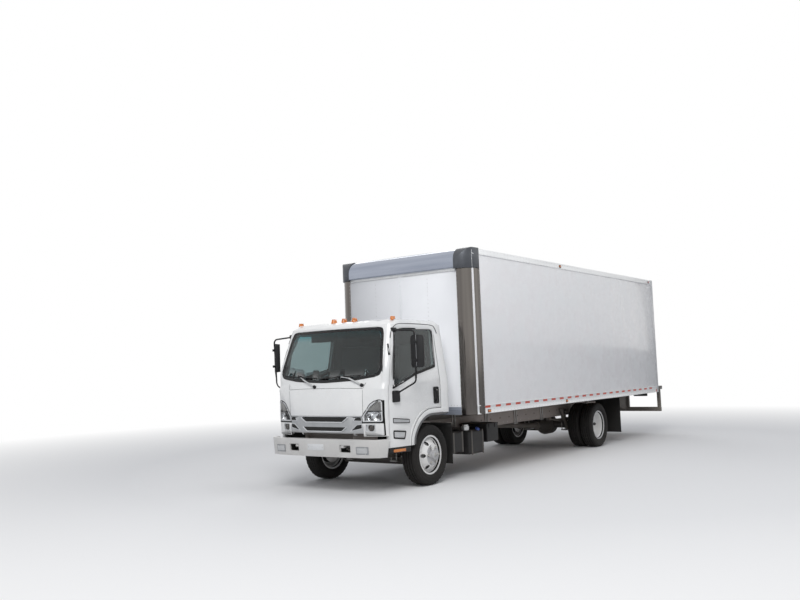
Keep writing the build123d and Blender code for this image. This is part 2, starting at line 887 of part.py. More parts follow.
def knuckle(side):
    """The knuckle on this side of the truck."""
    ear_bottom = tyre_radius - boss_height / 2 - ear_gap - ear_height
    ear_top = tyre_radius + boss_height / 2 + ear_gap + ear_height
    pin = (front_axle_x, side * kingpin_y)
    with BuildPart() as piece:
        with BuildSketch(Plane.XY.offset(ear_bottom)):
            with Locations(pin):
                Circle(ear_radius)
            with Locations((front_axle_x, side * (kingpin_y + 36))):
                Rectangle(64, 36)
        extrude(amount=ear_top - ear_bottom)
        with BuildSketch(Plane.XY.offset(ear_bottom + ear_height)):
            with Locations(pin):
                Circle(ear_radius + 4)
        extrude(amount=boss_height + 2 * ear_gap, mode=Mode.SUBTRACT)
        with BuildSketch(Plane.XY.offset(ear_bottom)):
            with Locations(pin):
                Circle(kingpin_radius + running_fit)
        extrude(amount=ear_top - ear_bottom, mode=Mode.SUBTRACT)
        with BuildSketch(
            Plane(
                origin=(front_axle_x, side * (kingpin_y + 44), tyre_radius),
                x_dir=(1, 0, 0),
                z_dir=(0, side, 0),
            )
        ):
            Circle(spindle_radius)
        extrude(amount=front_wheel_y + 90 - kingpin_y - 44)
        # Steering arm: back from the lower ear and down to the tie rod's pin
        with BuildSketch(side_plane(side * kingpin_y - arm_width / 2)):
            with BuildLine():
                Polyline(
                    (front_axle_x - ear_radius + 6, ear_bottom),
                    (front_axle_x - ear_radius + 6, ear_bottom + arm_thickness),
                    (front_axle_x - arm_length - 22, arm_bottom + arm_thickness),
                    (front_axle_x - arm_length - 22, arm_bottom),
                    (front_axle_x - arm_length + 22, arm_bottom),
                    close=True,
                )
            make_face()
        extrude(amount=-arm_width)
        with BuildSketch(Plane.XY.offset(tie_rod_z - tie_end_height / 2 - 6)):
            with Locations((front_axle_x - arm_length, side * kingpin_y)):
                Circle(tie_pin_radius)
        extrude(amount=tie_end_height + 12)
    return piece


knuckle_left = knuckle(1)
knuckle_right = knuckle(-1)

with BuildPart() as tie_rod:
    with BuildSketch(Plane.XY.offset(tie_rod_z - tie_end_height / 2)):
        for side in (1, -1):
            with Locations((front_axle_x - arm_length, side * kingpin_y)):
                Circle(tie_end_radius)
    extrude(amount=tie_end_height)
    with BuildSketch(Plane.XZ.offset(-kingpin_y)):
        with Locations((front_axle_x - arm_length, tie_rod_z)):
            Circle(13)
    extrude(amount=2 * kingpin_y)
    with BuildSketch(Plane.XY.offset(tie_rod_z - tie_end_height / 2)):
        with Locations((front_axle_x - arm_length, kingpin_y)):
            Circle(tie_pin_radius + running_fit)
        with Locations((front_axle_x - arm_length, -kingpin_y)):
            Circle(tie_pin_radius + running_fit)
    extrude(amount=tie_end_height, mode=Mode.SUBTRACT)

# Front axle: a dropped I-beam with an eye and a kingpin at each end
# points: across, height of the beam's centre below the wheel's centre
beam_line = [(0, -beam_drop), (500, -beam_drop), (610, -20)]
web_thickness = 18
beam_flange = 15


def beam_outline(half_height, end):
    """The beam seen from the front, to this half height and this far across."""
    points = beam_line + [(end, 0)]
    upper = [(y, tyre_radius + drop + half_height) for y, drop in points]
    lower = [(y, tyre_radius + drop - half_height) for y, drop in points]
    right = upper[::-1] + [(-y, z) for y, z in upper[1:]]
    left = [(-y, z) for y, z in lower[::-1]] + lower[1:]
    return right + left


with BuildPart() as front_axle:
    with BuildSketch(Plane.YZ.offset(front_axle_x - beam_width / 2)):
        with BuildLine():
            Polyline(beam_outline(beam_height / 2, kingpin_y - 20), close=True)
        make_face()
    extrude(amount=beam_width)
    for direction in (1, -1):
        with BuildSketch(Plane.YZ.offset(front_axle_x + direction * web_thickness / 2)):
            with BuildLine():
                Polyline(beam_outline(beam_height / 2 - beam_flange, kingpin_y - 60), close=True)
            make_face()
        extrude(amount=direction * beam_width / 2, mode=Mode.SUBTRACT)
    for side in (1, -1):
        with BuildSketch(Plane.XY.offset(tyre_radius - boss_height / 2)):
            with Locations((front_axle_x, side * kingpin_y)):
                Circle(ear_radius)
        extrude(amount=boss_height)
        with BuildSketch(Plane.XY.offset(tyre_radius - boss_height / 2 - ear_height)):
            with Locations((front_axle_x, side * kingpin_y)):
                Circle(kingpin_radius)
        extrude(amount=boss_height + 2 * ear_height)

# Leaf springs with their hangers below the frame
# columns: axle, half length, lowest surface of the pack, height of the eyes, leaves
frame_bottom = frame_top - frame_depth
front_spring_seat = tyre_radius - beam_drop + beam_height / 2 + seat_gap
rear_tube_radius = 64
rear_spring_seat = tyre_radius + rear_tube_radius + seat_gap
spring_table = [
    (front_axle_x, 620, front_spring_seat, frame_bottom - 42, 4),
    (rear_axle_x, 700, rear_spring_seat, frame_bottom - 30, 5),
]
eye_radius = 27


def leaf_spring(axle_x, half_length, seat, eye_z, leaves):
    """One spring pack on the left side, with its eyes and hangers."""
    pack = leaves * leaf_thickness
    rise = eye_z - (seat + pack - leaf_thickness / 2)
    with BuildPart() as spring:
        for number in range(leaves):
            reach = half_length * (1 - 0.17 * number)
            top = seat + pack - number * leaf_thickness
            lift = rise * (reach / half_length) ** 2
            with BuildSketch(side_plane(spring_y - spring_width / 2)):
                with BuildLine():
                    upper_arc = ThreePointArc(
                        (axle_x - reach, top + lift), (axle_x, top), (axle_x + reach, top + lift)
                    )
                    lower_arc = ThreePointArc(
                        (axle_x - reach, top + lift - leaf_thickness - 0.8),
                        (axle_x, top - leaf_thickness - (0.8 if number < leaves - 1 else 0)),
                        (axle_x + reach, top + lift - leaf_thickness - 0.8),
                    )
                    Line(upper_arc @ 0, lower_arc @ 0)
                    Line(upper_arc @ 1, lower_arc @ 1)
                make_face()
            extrude(amount=-spring_width)
        for end in (-1, 1):
            eye_x = axle_x + end * half_length
            with BuildSketch(side_plane(spring_y - spring_width / 2 - 4)):
                with Locations((eye_x, eye_z)):
                    Circle(eye_radius)
                with Locations((eye_x, (eye_z + frame_bottom - seat_gap) / 2)):
                    Rectangle(70, frame_bottom - seat_gap - eye_z)
            extrude(amount=-spring_width - 8)
        for end in (-1, 1):
            with BuildSketch(Plane.XY.offset(seat + pack - 2)):
                with Locations((axle_x + end * 58, spring_y)):
                    Rectangle(22, spring_width + 20)
            extrude(amount=14)
    return spring


with BuildPart() as leaf_springs:
    for row in spring_table:
        pair = leaf_spring(*row)
        add(pair.part)
        add(mirror(pair.part, about=Plane.XZ, mode=Mode.PRIVATE))

# Rear axle: tube, banjo casing with its cover, pinion nose and spindles
casing_radius = 185
casing_width = 210
pinion_reach = 420

with BuildPart() as rear_axle:
    with BuildSketch(Plane.XZ.offset(-(rear_wheel_y + rear_hub_inner - 4))):
        with Locations((rear_axle_x, tyre_radius)):
            Circle(rear_tube_radius)
    extrude(amount=2 * (rear_wheel_y + rear_hub_inner - 4))
    with BuildSketch(Plane.XZ.offset(-(rear_wheel_y - 152))):
        with Locations((rear_axle_x, tyre_radius)):
            Circle(rear_spindle_radius)
    extrude(amount=2 * (rear_wheel_y - 152))
    with BuildSketch(Plane.YZ.offset(rear_axle_x - casing_width / 2)):
        with Locations((0, tyre_radius)):
            Circle(casing_radius)
    extrude(amount=casing_width)
    with BuildSketch(Plane.YZ.offset(rear_axle_x + casing_width / 2)):
        with Locations((0, tyre_radius)):
            Circle(casing_radius - 45)
    extrude(amount=pinion_reach - casing_width / 2, taper=12)
    with BuildSketch(Plane.YZ.offset(rear_axle_x - casing_width / 2)):
        with Locations((0, tyre_radius)):
            Circle(casing_radius - 20)
    extrude(amount=-46, taper=35)

# Frame: two channel rails joined by cross members, with cab and bumper mounts
# columns: distance from the front axle
cross_members = [880, -1230, -2140, -3050, -4000, -4850, -5950, -6900, -7750]
cross_depth = 120
cross_bottom = frame_top - frame_plate - 20 - cross_depth
cab_mount_forward = -430

with BuildPart() as chassis_frame:
    for side in (1, -1):
        with BuildSketch(Plane.YZ.offset(frame_rear_x)):
            with BuildLine():
                Polyline(
                    (side * frame_half_width, frame_bottom),
                    (side * frame_half_width, frame_top),
                    (side * (frame_half_width - frame_flange), frame_top),
                    (side * (frame_half_width - frame_flange), frame_top - frame_plate),
                    (side * (frame_half_width - frame_plate), frame_top - frame_plate),
                    (side * (frame_half_width - frame_plate), frame_bottom + frame_plate),
                    (side * (frame_half_width - frame_flange), frame_bottom + frame_plate),
                    (side * (frame_half_width - frame_flange), frame_bottom),
                    close=True,
                )
            make_face()
        extrude(amount=frame_front_x - frame_rear_x)
        with BuildSketch(Plane.XZ.offset(-side * frame_half_width)):
            with Locations((front_axle_x + pivot_forward, pivot_height)):
                Circle(pivot_radius)
        extrude(amount=-side * (lug_inner + lug_width + 8 - frame_half_width))
        with BuildSketch(Plane.XY.offset(frame_top)):
            with Locations((front_axle_x + cab_mount_forward, side * (frame_half_width - 35))):
                Rectangle(70, 60)
        extrude(amount=seat_platform_top - cab_floor_thickness - seat_gap - frame_top)
    for forward in cross_members:
        with BuildSketch(side_plane()):
            with Locations((front_axle_x + forward, cross_bottom + cross_depth / 2)):
                Rectangle(60, cross_depth)
                with Locations((8, 0)):
                    Rectangle(52, cross_depth - 2 * frame_plate, mode=Mode.SUBTRACT)
        extrude(amount=frame_half_width - frame_plate + 1, both=True)

# Engine and gearbox as one plain block on the frame, with the radiator ahead of it
radiator_x = front_axle_x + 605
radiator_thickness = 90
radiator_half_width = 338
radiator_bottom = 450
radiator_top = 790

with BuildPart() as engine_block:
    with BuildSketch(side_plane()) as outline:
        with BuildLine():
            Polyline(
                (front_axle_x + 400, 520),
                (front_axle_x + 400, 1040),
                (front_axle_x + 330, 1100),
                (front_axle_x - 380, 1100),
                (front_axle_x - 440, 780),
                (front_axle_x - 1120, 700),
                (front_axle_x - 1120, 470),
                (front_axle_x - 460, 420),
                (front_axle_x - 200, 470),
                close=True,
            )
        make_face()
    extrude(amount=230, both=True)
    with BuildSketch(side_plane()):
        with Locations((front_axle_x - 60, 700)):
            Rectangle(120, 90)
    extrude(amount=frame_half_width - frame_plate - seat_gap, both=True)
    with BuildSketch(side_plane()):
        with Locations((radiator_x, (radiator_bottom + radiator_top) / 2)):
            Rectangle(radiator_thickness, radiator_top - radiator_bottom)
    extrude(amount=radiator_half_width, both=True)
    with BuildSketch(side_plane()):
        with Locations((radiator_x, (frame_top + frame_bottom) / 2)):
            Rectangle(radiator_thickness / 2, 60)
    extrude(amount=frame_half_width - frame_plate - seat_gap, both=True)

# Propeller shaft in two lengths with a centre bearing
# points: forward of the front axle, height
shaft_points = [(-1120, 585), (-3050, 560), (-wheelbase + pinion_reach, tyre_radius)]
shaft_radius = 45
joint_radius = 60
flange_radius = 72
flange_thickness = 24
bearing_x = front_axle_x + shaft_points[1][0]
bearing_z = shaft_points[1][1]

with BuildPart() as propeller_shaft:
    for (start_x, start_z), (end_x, end_z) in zip(shaft_points, shaft_points[1:]):
        start = Vector(front_axle_x + start_x - flange_thickness / 2, 0, start_z)
        end = Vector(front_axle_x + end_x + flange_thickness / 2, 0, end_z)
        with BuildSketch(Plane(origin=start, z_dir=end - start)):
            Circle(shaft_radius)
        extrude(amount=(end - start).length)
    for (end_x, end_z), direction in ((shaft_points[0], -1), (shaft_points[-1], 1)):
        with BuildSketch(Plane.YZ.offset(front_axle_x + end_x + direction * seat_gap)):
            with Locations((0, end_z)):
                Circle(flange_radius)
        extrude(amount=direction * flange_thickness)
    with Locations((bearing_x, 0, bearing_z)):
        Sphere(joint_radius)
    with BuildSketch(side_plane()):
        with Locations((bearing_x, (bearing_z + cross_bottom - seat_gap) / 2)):
            Rectangle(50, cross_bottom - seat_gap - bearing_z)
    extrude(amount=joint_radius, both=True)

# Front bumper: a curved hollow beam, deeper at the ends, with two towing openings
bumper_top = 695
tow_opening_y = 445
tow_opening_z = 578
tow_opening_width = 168
tow_opening_height = 88
bumper_bottom = 469
bumper_wall = 45
bumper_taper = 4
bumper_flange_x = 1072
# points of the left half of its plan, forward of the front axle and across
bumper_plan = [(front_overhang, 0), (1142, 760), (1075, 925), (948, 1006)]


def bumper_face(inset):
    """The bumper seen from above, drawn in by an inset and then open at the back."""
    with BuildSketch(Plane.XY.offset(bumper_top - inset)) as face:
        with BuildLine():
            edge = [(front_axle_x + x, y) for x, y in bumper_plan]
            ThreePointArc((edge[1][0], -edge[1][1]), edge[0], edge[1])
            Polyline(edge[1:])
            Line(edge[-1], (edge[-1][0], -edge[-1][1]))
            Polyline([(x, -y) for x, y in edge[:0:-1]])
        make_face()
        if inset:
            offset(amount=-inset, kind=Kind.INTERSECTION)
            with Locations((edge[-1][0], 0)):
                Rectangle(2.2 * inset, 2 * (edge[-1][1] - 2 * inset))
    return face


bumper_bracket_z = 635
bumper_bracket_height = 90

# The space behind the bumper's flange, where the cab's lower edge swings down
with BuildPart() as bumper_back:
    extrude(bumper_face(bumper_wall).sketch, amount=bumper_top, both=True)
    with BuildSketch(Plane.YZ.offset(front_axle_x + bumper_flange_x)):
        Rectangle(4 * body_half_width, 8 * bumper_top)
    extrude(amount=wing_depth, mode=Mode.SUBTRACT)

with BuildPart() as front_bumper:
    extrude(bumper_face(0).sketch, amount=-(bumper_top - bumper_bottom), taper=bumper_taper)
    extrude(
        bumper_face(bumper_wall).sketch,
        amount=-(bumper_top - bumper_bottom - 2 * bumper_wall),
        mode=Mode.SUBTRACT,
    )
    add(bumper_back.part, mode=Mode.SUBTRACT)
    with BuildSketch(Plane.YZ.offset(front_cut_x)):
        for side in (1, -1):
            with Locations((side * tow_opening_y, tow_opening_z)):
                RectangleRounded(tow_opening_width, tow_opening_height, 10)
    extrude(amount=wing_depth, mode=Mode.SUBTRACT)
    with BuildSketch(Plane.YZ.offset(frame_front_x + seat_gap)):
        for side in (1, -1):
            with Locations((side * (frame_half_width - 30), bumper_bracket_z)):
                Rectangle(50, bumper_bracket_height)
    extrude(amount=front_axle_x + front_overhang - bumper_wall / 2 - frame_front_x)

# Freight body: sills and floor, then walls between rails and posts
long_sill_height = body_bottom - frame_top + 4
cross_sill_bottom = frame_top + seat_gap + long_sill_height
cross_sill_pitch = 406
cross_sill_width = 44
wall_outer = body_half_width - rail_stand_out
wall_inner = wall_outer - wall_thickness
floor_front = body_front_x - wall_thickness - 2 * seat_gap
floor_rear = body_rear_x + rear_frame_depth + seat_gap
rail_front = body_front_x - corner_leg - seat_gap
side_rear = body_rear_x + rear_frame_depth + seat_gap
floor_underside = floor_top - floor_thickness
cross_sill_height = floor_underside - cross_sill_bottom
cross_sill_count = int((floor_front - floor_rear - cross_sill_width) / cross_sill_pitch) + 1

with BuildPart() as floor_sills:
    for side in (1, -1):
        with BuildSketch(Plane.YZ.offset(floor_rear)):
            with Locations(
                (
                    side * (frame_half_width - long_sill_width / 2),
                    frame_top + seat_gap + long_sill_height / 2,
                )
            ):
                Rectangle(long_sill_width, long_sill_height)
        extrude(amount=floor_front - floor_rear)
    for number in range(cross_sill_count):
        sill_x = floor_rear + cross_sill_width / 2 + number * cross_sill_pitch
        with BuildSketch(side_plane()):
            with Locations((sill_x, cross_sill_bottom + cross_sill_height / 2)):
                Rectangle(cross_sill_width, cross_sill_height)
                for side in (1, -1):
                    with Locations((side * (cross_sill_width / 2 + 2), 0)):
                        Rectangle(
                            cross_sill_width, cross_sill_height - 14, mode=Mode.SUBTRACT
                        )
        extrude(amount=wall_inner - seat_gap, both=True)
    with BuildSketch(Plane.XY.offset(floor_underside)) as floor_plan:
        with Locations(((floor_front + floor_rear) / 2, 0)):
            Rectangle(floor_front - floor_rear, 2 * (wall_inner - seat_gap))
        fillet(floor_plan.vertices().group_by(Axis.X)[-1], corner_radius - wall_thickness)
    extrude(amount=floor_thickness)

# Side walls between the bottom and top rails
bottom_rail_top = body_bottom + bottom_rail_height
top_rail_bottom = body_top - 15 - top_rail_height
side_wall_middle = (bottom_rail_top + top_rail_bottom) / 2

with BuildPart() as side_walls:
    for side in (1, -1):
        with BuildSketch(Plane.YZ.offset(side_rear)):
            with Locations((side * (wall_outer - wall_thickness / 2), side_wall_middle)):
                Rectangle(wall_thickness, top_rail_bottom - bottom_rail_top - 2 * seat_gap)
        extrude(amount=rail_front - side_rear)

# Rails: the bottom one covers the sill ends, the top one turns onto the roof
rail_lip = 10
rail_step = 30

with BuildPart() as side_rails:
    for side in (1, -1):
        with BuildSketch(Plane.YZ.offset(side_rear)):
            with BuildLine():
                Polyline(
                    (side * wall_inner, body_bottom),
                    (side * body_half_width, body_bottom),
                    (side * body_half_width, body_bottom + rail_lip),
                    (side * wall_outer, body_bottom + rail_lip + 4),
                    (side * wall_outer, bottom_rail_top - rail_lip - 4),
                    (side * body_half_width, bottom_rail_top - rail_lip),
                    (side * body_half_width, bottom_rail_top),
                    (side * wall_inner, bottom_rail_top),
                    close=True,
                )
            make_face()
            with BuildLine():
                Polyline(
                    (side * wall_inner, top_rail_bottom),
                    (side * body_half_width, top_rail_bottom),
                    (side * body_half_width, top_rail_bottom + rail_lip),
                    (side * wall_outer, top_rail_bottom + rail_lip + 4),
                    (side * wall_outer, body_top - rail_step - 10),
                    (side * (wall_outer - 12), body_top - 6),
                    (side * wall_inner, body_top - 6),
                    close=True,
                )
            make_face()
        extrude(amount=rail_front - side_rear)

# Roof skin, slightly crowned, between the top rails
roof_thickness = 26
roof_crown = 14
roof_front = body_front_x - corner_leg - seat_gap
roof_edge = wall_inner - seat_gap
roof_high = body_top - 20
roof_low = roof_high - roof_thickness

with BuildPart() as roof:
    with BuildSketch(Plane.YZ.offset(side_rear)):
        with BuildLine():
            ThreePointArc((-roof_edge, roof_high), (0, roof_high + roof_crown), (roof_edge, roof_high))
            Polyline(
                (roof_edge, roof_high),
                (roof_edge, roof_low),
                (-roof_edge, roof_low),
                (-roof_edge, roof_high),
            )
        make_face()
    extrude(amount=roof_front - side_rear)

# Front corner posts, polished and rounded, between the bottom and the nose caps
nose_bottom = body_top - nose_height
front_inner_x = body_front_x - wall_thickness

with BuildPart() as corner_posts:
    for side in (1, -1):
        with BuildSketch(Plane.XY.offset(body_bottom)) as outline:
            with BuildLine():
                Polyline(
                    (body_front_x - corner_leg, side * body_half_width),
                    (body_front_x, side * body_half_width),
                    (body_front_x, side * (body_half_width - corner_leg)),
                    (front_inner_x, side * (body_half_width - corner_leg)),
                    (front_inner_x, side * wall_inner),
                    (body_front_x - corner_leg, side * wall_inner),
                    close=True,
                )
            make_face()
            outer = outline.vertices().sort_by_distance((body_front_x, side * body_half_width))[0]
            fillet(outer, corner_radius)
            inner = outline.vertices().sort_by_distance((front_inner_x, side * wall_inner))[0]
            fillet(inner, corner_radius - wall_thickness)
        extrude(amount=nose_bottom - seat_gap - body_bottom)

# Front wall with its ribbed bottom rail
front_wall_half = body_half_width - corner_leg - seat_gap
front_rail_height = 92
front_rail_ribs = 3
front_recess = 4

with BuildPart() as front_wall:
    with BuildSketch(Plane.YZ.offset(front_inner_x)):
        with Locations((0, (body_bottom + nose_bottom - seat_gap) / 2)):
            Rectangle(2 * front_wall_half, nose_bottom - seat_gap - body_bottom)
    extrude(amount=wall_thickness - front_recess)
    with BuildSketch(Plane.YZ.offset(body_front_x - front_recess)):
        for rib in range(front_rail_ribs + 1):
            height = body_bottom + 6 + rib * (front_rail_height - 12) / front_rail_ribs
            with Locations((0, height)):
                Rectangle(2 * front_wall_half, 12)
    extrude(amount=front_recess)

# Nose: the rounded upper front edge, with a cast cap at each corner
cap_width = 168


def nose_form(inset):
    """The whole rounded nose from side to side, drawn in by an inset."""
    with BuildPart() as form:
        with BuildSketch(side_plane()) as outline:
            with Locations((body_front_x - corner_leg / 2 - inset, (nose_bottom + body_top) / 2 - inset)):
                Rectangle(corner_leg, nose_height)
            front_top = outline.vertices().group_by(Axis.X)[-1].sort_by(Axis.Y)[-1]
            fillet(front_top, nose_radius - inset)
        extrude(amount=body_half_width - inset, both=True)
        with BuildSketch(Plane.XY.offset(nose_bottom - inset)) as plan:
            with Locations((body_front_x - inset - corner_leg, 0)):
                Rectangle(2 * corner_leg, 2 * (body_half_width - inset))
            fillet(plan.vertices().group_by(Axis.X)[-1], corner_radius - inset)
        extrude(amount=nose_height, mode=Mode.INTERSECT)
    return form


with BuildPart() as nose_shell:
    add(nose_form(0).part)
    add(nose_form(wall_thickness / 2).part, mode=Mode.SUBTRACT)

with BuildPart() as nose_cap:
    add(nose_shell.part)
    with BuildSketch(Plane.XY.offset(nose_bottom)):
        with Locations((body_front_x, 0)):
            Rectangle(4 * corner_leg, 2 * (body_half_width - cap_width) - 2 * seat_gap)
    extrude(amount=nose_height, mode=Mode.INTERSECT)

with BuildPart() as corner_caps:
    add(nose_shell.part)
    with BuildSketch(Plane.XY.offset(nose_bottom)):
        with Locations((body_front_x, 0)):
            Rectangle(4 * corner_leg, 2 * (body_half_width - cap_width))
    extrude(amount=nose_height, mode=Mode.SUBTRACT)

# Rear frame: posts, header and sill round the door opening
sill_top = floor_top
header_bottom = body_top - 8 - rear_header_height
door_half_width = body_half_width - rear_post_width

with BuildPart() as rear_frame:
    with BuildSketch(Plane.YZ.offset(body_rear_x)):
        with Locations((0, (body_bottom + body_top - 8) / 2)):
            Rectangle(2 * body_half_width, body_top - 8 - body_bottom)
        with Locations((0, (sill_top + header_bottom) / 2)):
            Rectangle(2 * door_half_width, header_bottom - sill_top, mode=Mode.SUBTRACT)
    extrude(amount=rear_frame_depth)

# Roll-up door: hinged sections with a handle on the lowest
door_thickness = 24
section_groove = 6
door_recess = 22
door_height = header_bottom - sill_top - 2 * seat_gap
section_height = door_height / door_sections

with BuildPart() as rear_door:
    with BuildSketch(Plane.YZ.offset(body_rear_x + door_recess)):
        with Locations((0, (sill_top + header_bottom) / 2)):
            Rectangle(2 * (door_half_width - seat_gap), door_height)
    extrude(amount=door_thickness)
    with BuildSketch(Plane.YZ.offset(body_rear_x + door_recess)):
        for number in range(1, door_sections):
            with Locations((0, sill_top + seat_gap + number * section_height)):
                Rectangle(2 * body_half_width, section_groove)
    extrude(amount=8, mode=Mode.SUBTRACT)
    with BuildSketch(side_plane()):
        with BuildLine():
            Polyline(
                (body_rear_x + door_recess, sill_top + 90),
                (body_rear_x + 4, sill_top + 110),
                (body_rear_x + 4, sill_top + 190),
                (body_rear_x + door_recess, sill_top + 210),
                close=True,
            )
        make_face()
    extrude(amount=60, both=True)

# Rear step with the underrun guard below it
guard_bottom = 470
guard_tube = 90
guard_half_width = 1190
guard_x = rear_end_x + 150
post_width = 64
rear_step_top = 1012
rear_step_height = 74

with BuildPart() as rear_step:
    with BuildSketch(side_plane()):
        with BuildLine():
            Polyline(
                (rear_end_x, rear_step_top),
                (body_rear_x - seat_gap, rear_step_top),
                (body_rear_x - seat_gap, rear_step_top - rear_step_height),
                (body_rear_x - seat_gap - 30, rear_step_top - rear_step_height),
                (body_rear_x - seat_gap - 30, rear_step_top - 30),
                (rear_end_x + 30, rear_step_top - 30),
                (rear_end_x + 30, rear_step_top - rear_step_height),
                (rear_end_x, rear_step_top - rear_step_height),
                close=True,
            )
        make_face()
    extrude(amount=guard_half_width, both=True)
    with BuildSketch(side_plane()):
        with Locations((guard_x, guard_bottom + guard_tube / 2)):
            RectangleRounded(guard_tube, guard_tube, 12)
    extrude(amount=guard_half_width, both=True)
    for across in (guard_half_width - post_width / 2, frame_half_width + post_width / 2):
        for side in (1, -1):
            with BuildSketch(Plane.XY.offset(guard_bottom + guard_tube - 5)):
                with Locations((guard_x, side * across)):
                    Rectangle(post_width, post_width)
            extrude(amount=rear_step_top - 25 - guard_bottom - guard_tube + 5)
    for side in (1, -1):
        with BuildSketch(side_plane(side * (frame_half_width + seat_gap))):
            with BuildLine():
                Polyline(
                    (guard_x, body_bottom - 10),
                    (body_rear_x + 420, frame_top - 20),
                    (body_rear_x + 420, frame_bottom + 30),
                    (guard_x, guard_bottom + 20),
                    close=True,
                )
            make_face()
        extrude(amount=-side * 10)

# Tanks and boxes beside the rails, each on two brackets
# columns: front, rear, side, across inner, across outer, bottom, top, edge radius
fuel_tank_size = (-900, -2050, -1, 470, 960, 300, 660, 60)
reductant_tank_size = (-1035, -1455, 1, 480, 950, 292, 640, 45)
battery_box_size = (-1560, -1900, 1, 480, 930, 430, 700, 14)
air_tank_size = (-640, -960, 1, 480, 900, 350, 640, 30)
hanger_width = 44
hanger_lap = 60


def side_box(front, rear, side, inner, outer, low, high, edge):
    """A box with rounded edges beside a rail, with the brackets that hold it there."""
    hanger_low = high - edge - hanger_lap
    hanger_high = max(high - edge - 5, frame_bottom + hanger_lap)
    with BuildPart() as box:
        with BuildSketch(Plane.XY.offset(low)):
            with Locations((front_axle_x + (front + rear) / 2, side * (inner + outer) / 2)):
                Rectangle(front - rear, outer - inner)
        extrude(amount=high - low)
        fillet(box.edges(), edge)
        with BuildSketch(Plane.XZ.offset(-side * (frame_half_width + seat_gap))):
            for forward in (0.78 * front + 0.22 * rear, 0.22 * front + 0.78 * rear):
                with Locations((front_axle_x + forward, (hanger_low + hanger_high) / 2)):
                    Rectangle(hanger_width, hanger_high - hanger_low)
        extrude(amount=-side * (inner - frame_half_width + edge))
    return box


fuel_tank = side_box(*fuel_tank_size)
reductant_tank = side_box(*reductant_tank_size)

with BuildPart() as air_and_battery:
    add(side_box(*battery_box_size).part)
    add(side_box(*air_tank_size).part)

# Exhaust: a pipe to a canister on the right, behind the tank
exhaust_front = -2250
canister_length = 900
canister_radius = 135
canister_y = -600
canister_z = 560

with BuildPart() as exhaust:
    with BuildSketch(Plane.YZ.offset(front_axle_x + exhaust_front)):
        with Locations((canister_y, canister_z)):
            Circle(canister_radius)
    extrude(amount=-canister_length)
    with BuildSketch(Plane.YZ.offset(front_axle_x + exhaust_front - canister_length)):
        with Locations((canister_y, canister_z)):
            Circle(45)
    extrude(amount=-500)
    with BuildSketch(side_plane(-(frame_half_width + seat_gap))):
        for forward in (exhaust_front - 150, exhaust_front - canister_length + 150):
            with Locations((front_axle_x + forward, canister_z + 40)):
                Rectangle(40, 160)
    extrude(amount=60)

# Mud flaps with their hangers; columns: forward, inner edge, outer edge, bottom, top
flap_table = [(-512, 660, 985, 230, 790), (-wheelbase - 985, 600, 1105, 190, 860)]
flap_thickness = 8

with BuildPart() as mud_flaps:
    for forward, inner, outer, low, high in flap_table:
        for side in (1, -1):
            with BuildSketch(Plane.YZ.offset(front_axle_x + forward)):
                with Locations((side * (inner + outer) / 2, (low + high) / 2)):
                    Rectangle(outer - inner, high - low)
                with Locations((side * (frame_half_width + seat_gap + outer) / 2, high - 30)):
                    Rectangle(outer - frame_half_width - seat_gap, 60)
            extrude(amount=-flap_thickness)

pieces = {
    "cab_shell": cab_shell,
    "cab_glass": cab_glass,
    "door_left": door_left,
    "door_right": door_right,
    "door_glass_left": door_glass_left,
    "door_glass_right": door_glass_right,
    "mirror_left": mirror_left,
    "mirror_right": mirror_right,
    "grille": grille,
    "headlamps": headlamps,
    "roof_lamps": roof_lamps,
    "cab_steps": cab_steps,
    "dashboard": dashboard,
    "steering_wheel": steering_wheel,
    "seats": seats,
    "knuckle_left": knuckle_left,
    "knuckle_right": knuckle_right,
    "tie_rod": tie_rod,
    "wheel_front_left": wheel_front_left,
    "wheel_front_right": wheel_front_right,
    "wheel_rear_left": wheel_rear_left,
    "wheel_rear_right": wheel_rear_right,
    "tyre_front_left": tyre_front_left,
    "tyre_front_right": tyre_front_right,
    "tyres_rear_left": tyres_rear_left,
    "tyres_rear_right": tyres_rear_right,
    "front_axle": front_axle,
    "rear_axle": rear_axle,
    "leaf_springs": leaf_springs,
    "chassis_frame": chassis_frame,
    "engine_block": engine_block,
    "propeller_shaft": propeller_shaft,
    "front_bumper": front_bumper,
    "floor_sills": floor_sills,
    "side_walls": side_walls,
    "side_rails": side_rails,
    "roof": roof,
    "corner_posts": corner_posts,
    "front_wall": front_wall,
    "nose_cap": nose_cap,
    "corner_caps": corner_caps,
    "rear_frame": rear_frame,
    "rear_door": rear_door,
    "rear_step": rear_step,
    "fuel_tank": fuel_tank,
    "reductant_tank": reductant_tank,
    "air_and_battery": air_and_battery,
    "exhaust": exhaust,
    "mud_flaps": mud_flaps,
}

os.makedirs("parts", exist_ok=True)
for name, piece in pieces.items():
    piece.part.label = name
    export_step(piece.part, f"parts/{name}.step")
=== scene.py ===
import json
from contextlib import contextmanager
from math import cos, pi, radians, sin

import bpy
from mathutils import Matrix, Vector
from mathutils.bvhtree import BVHTree

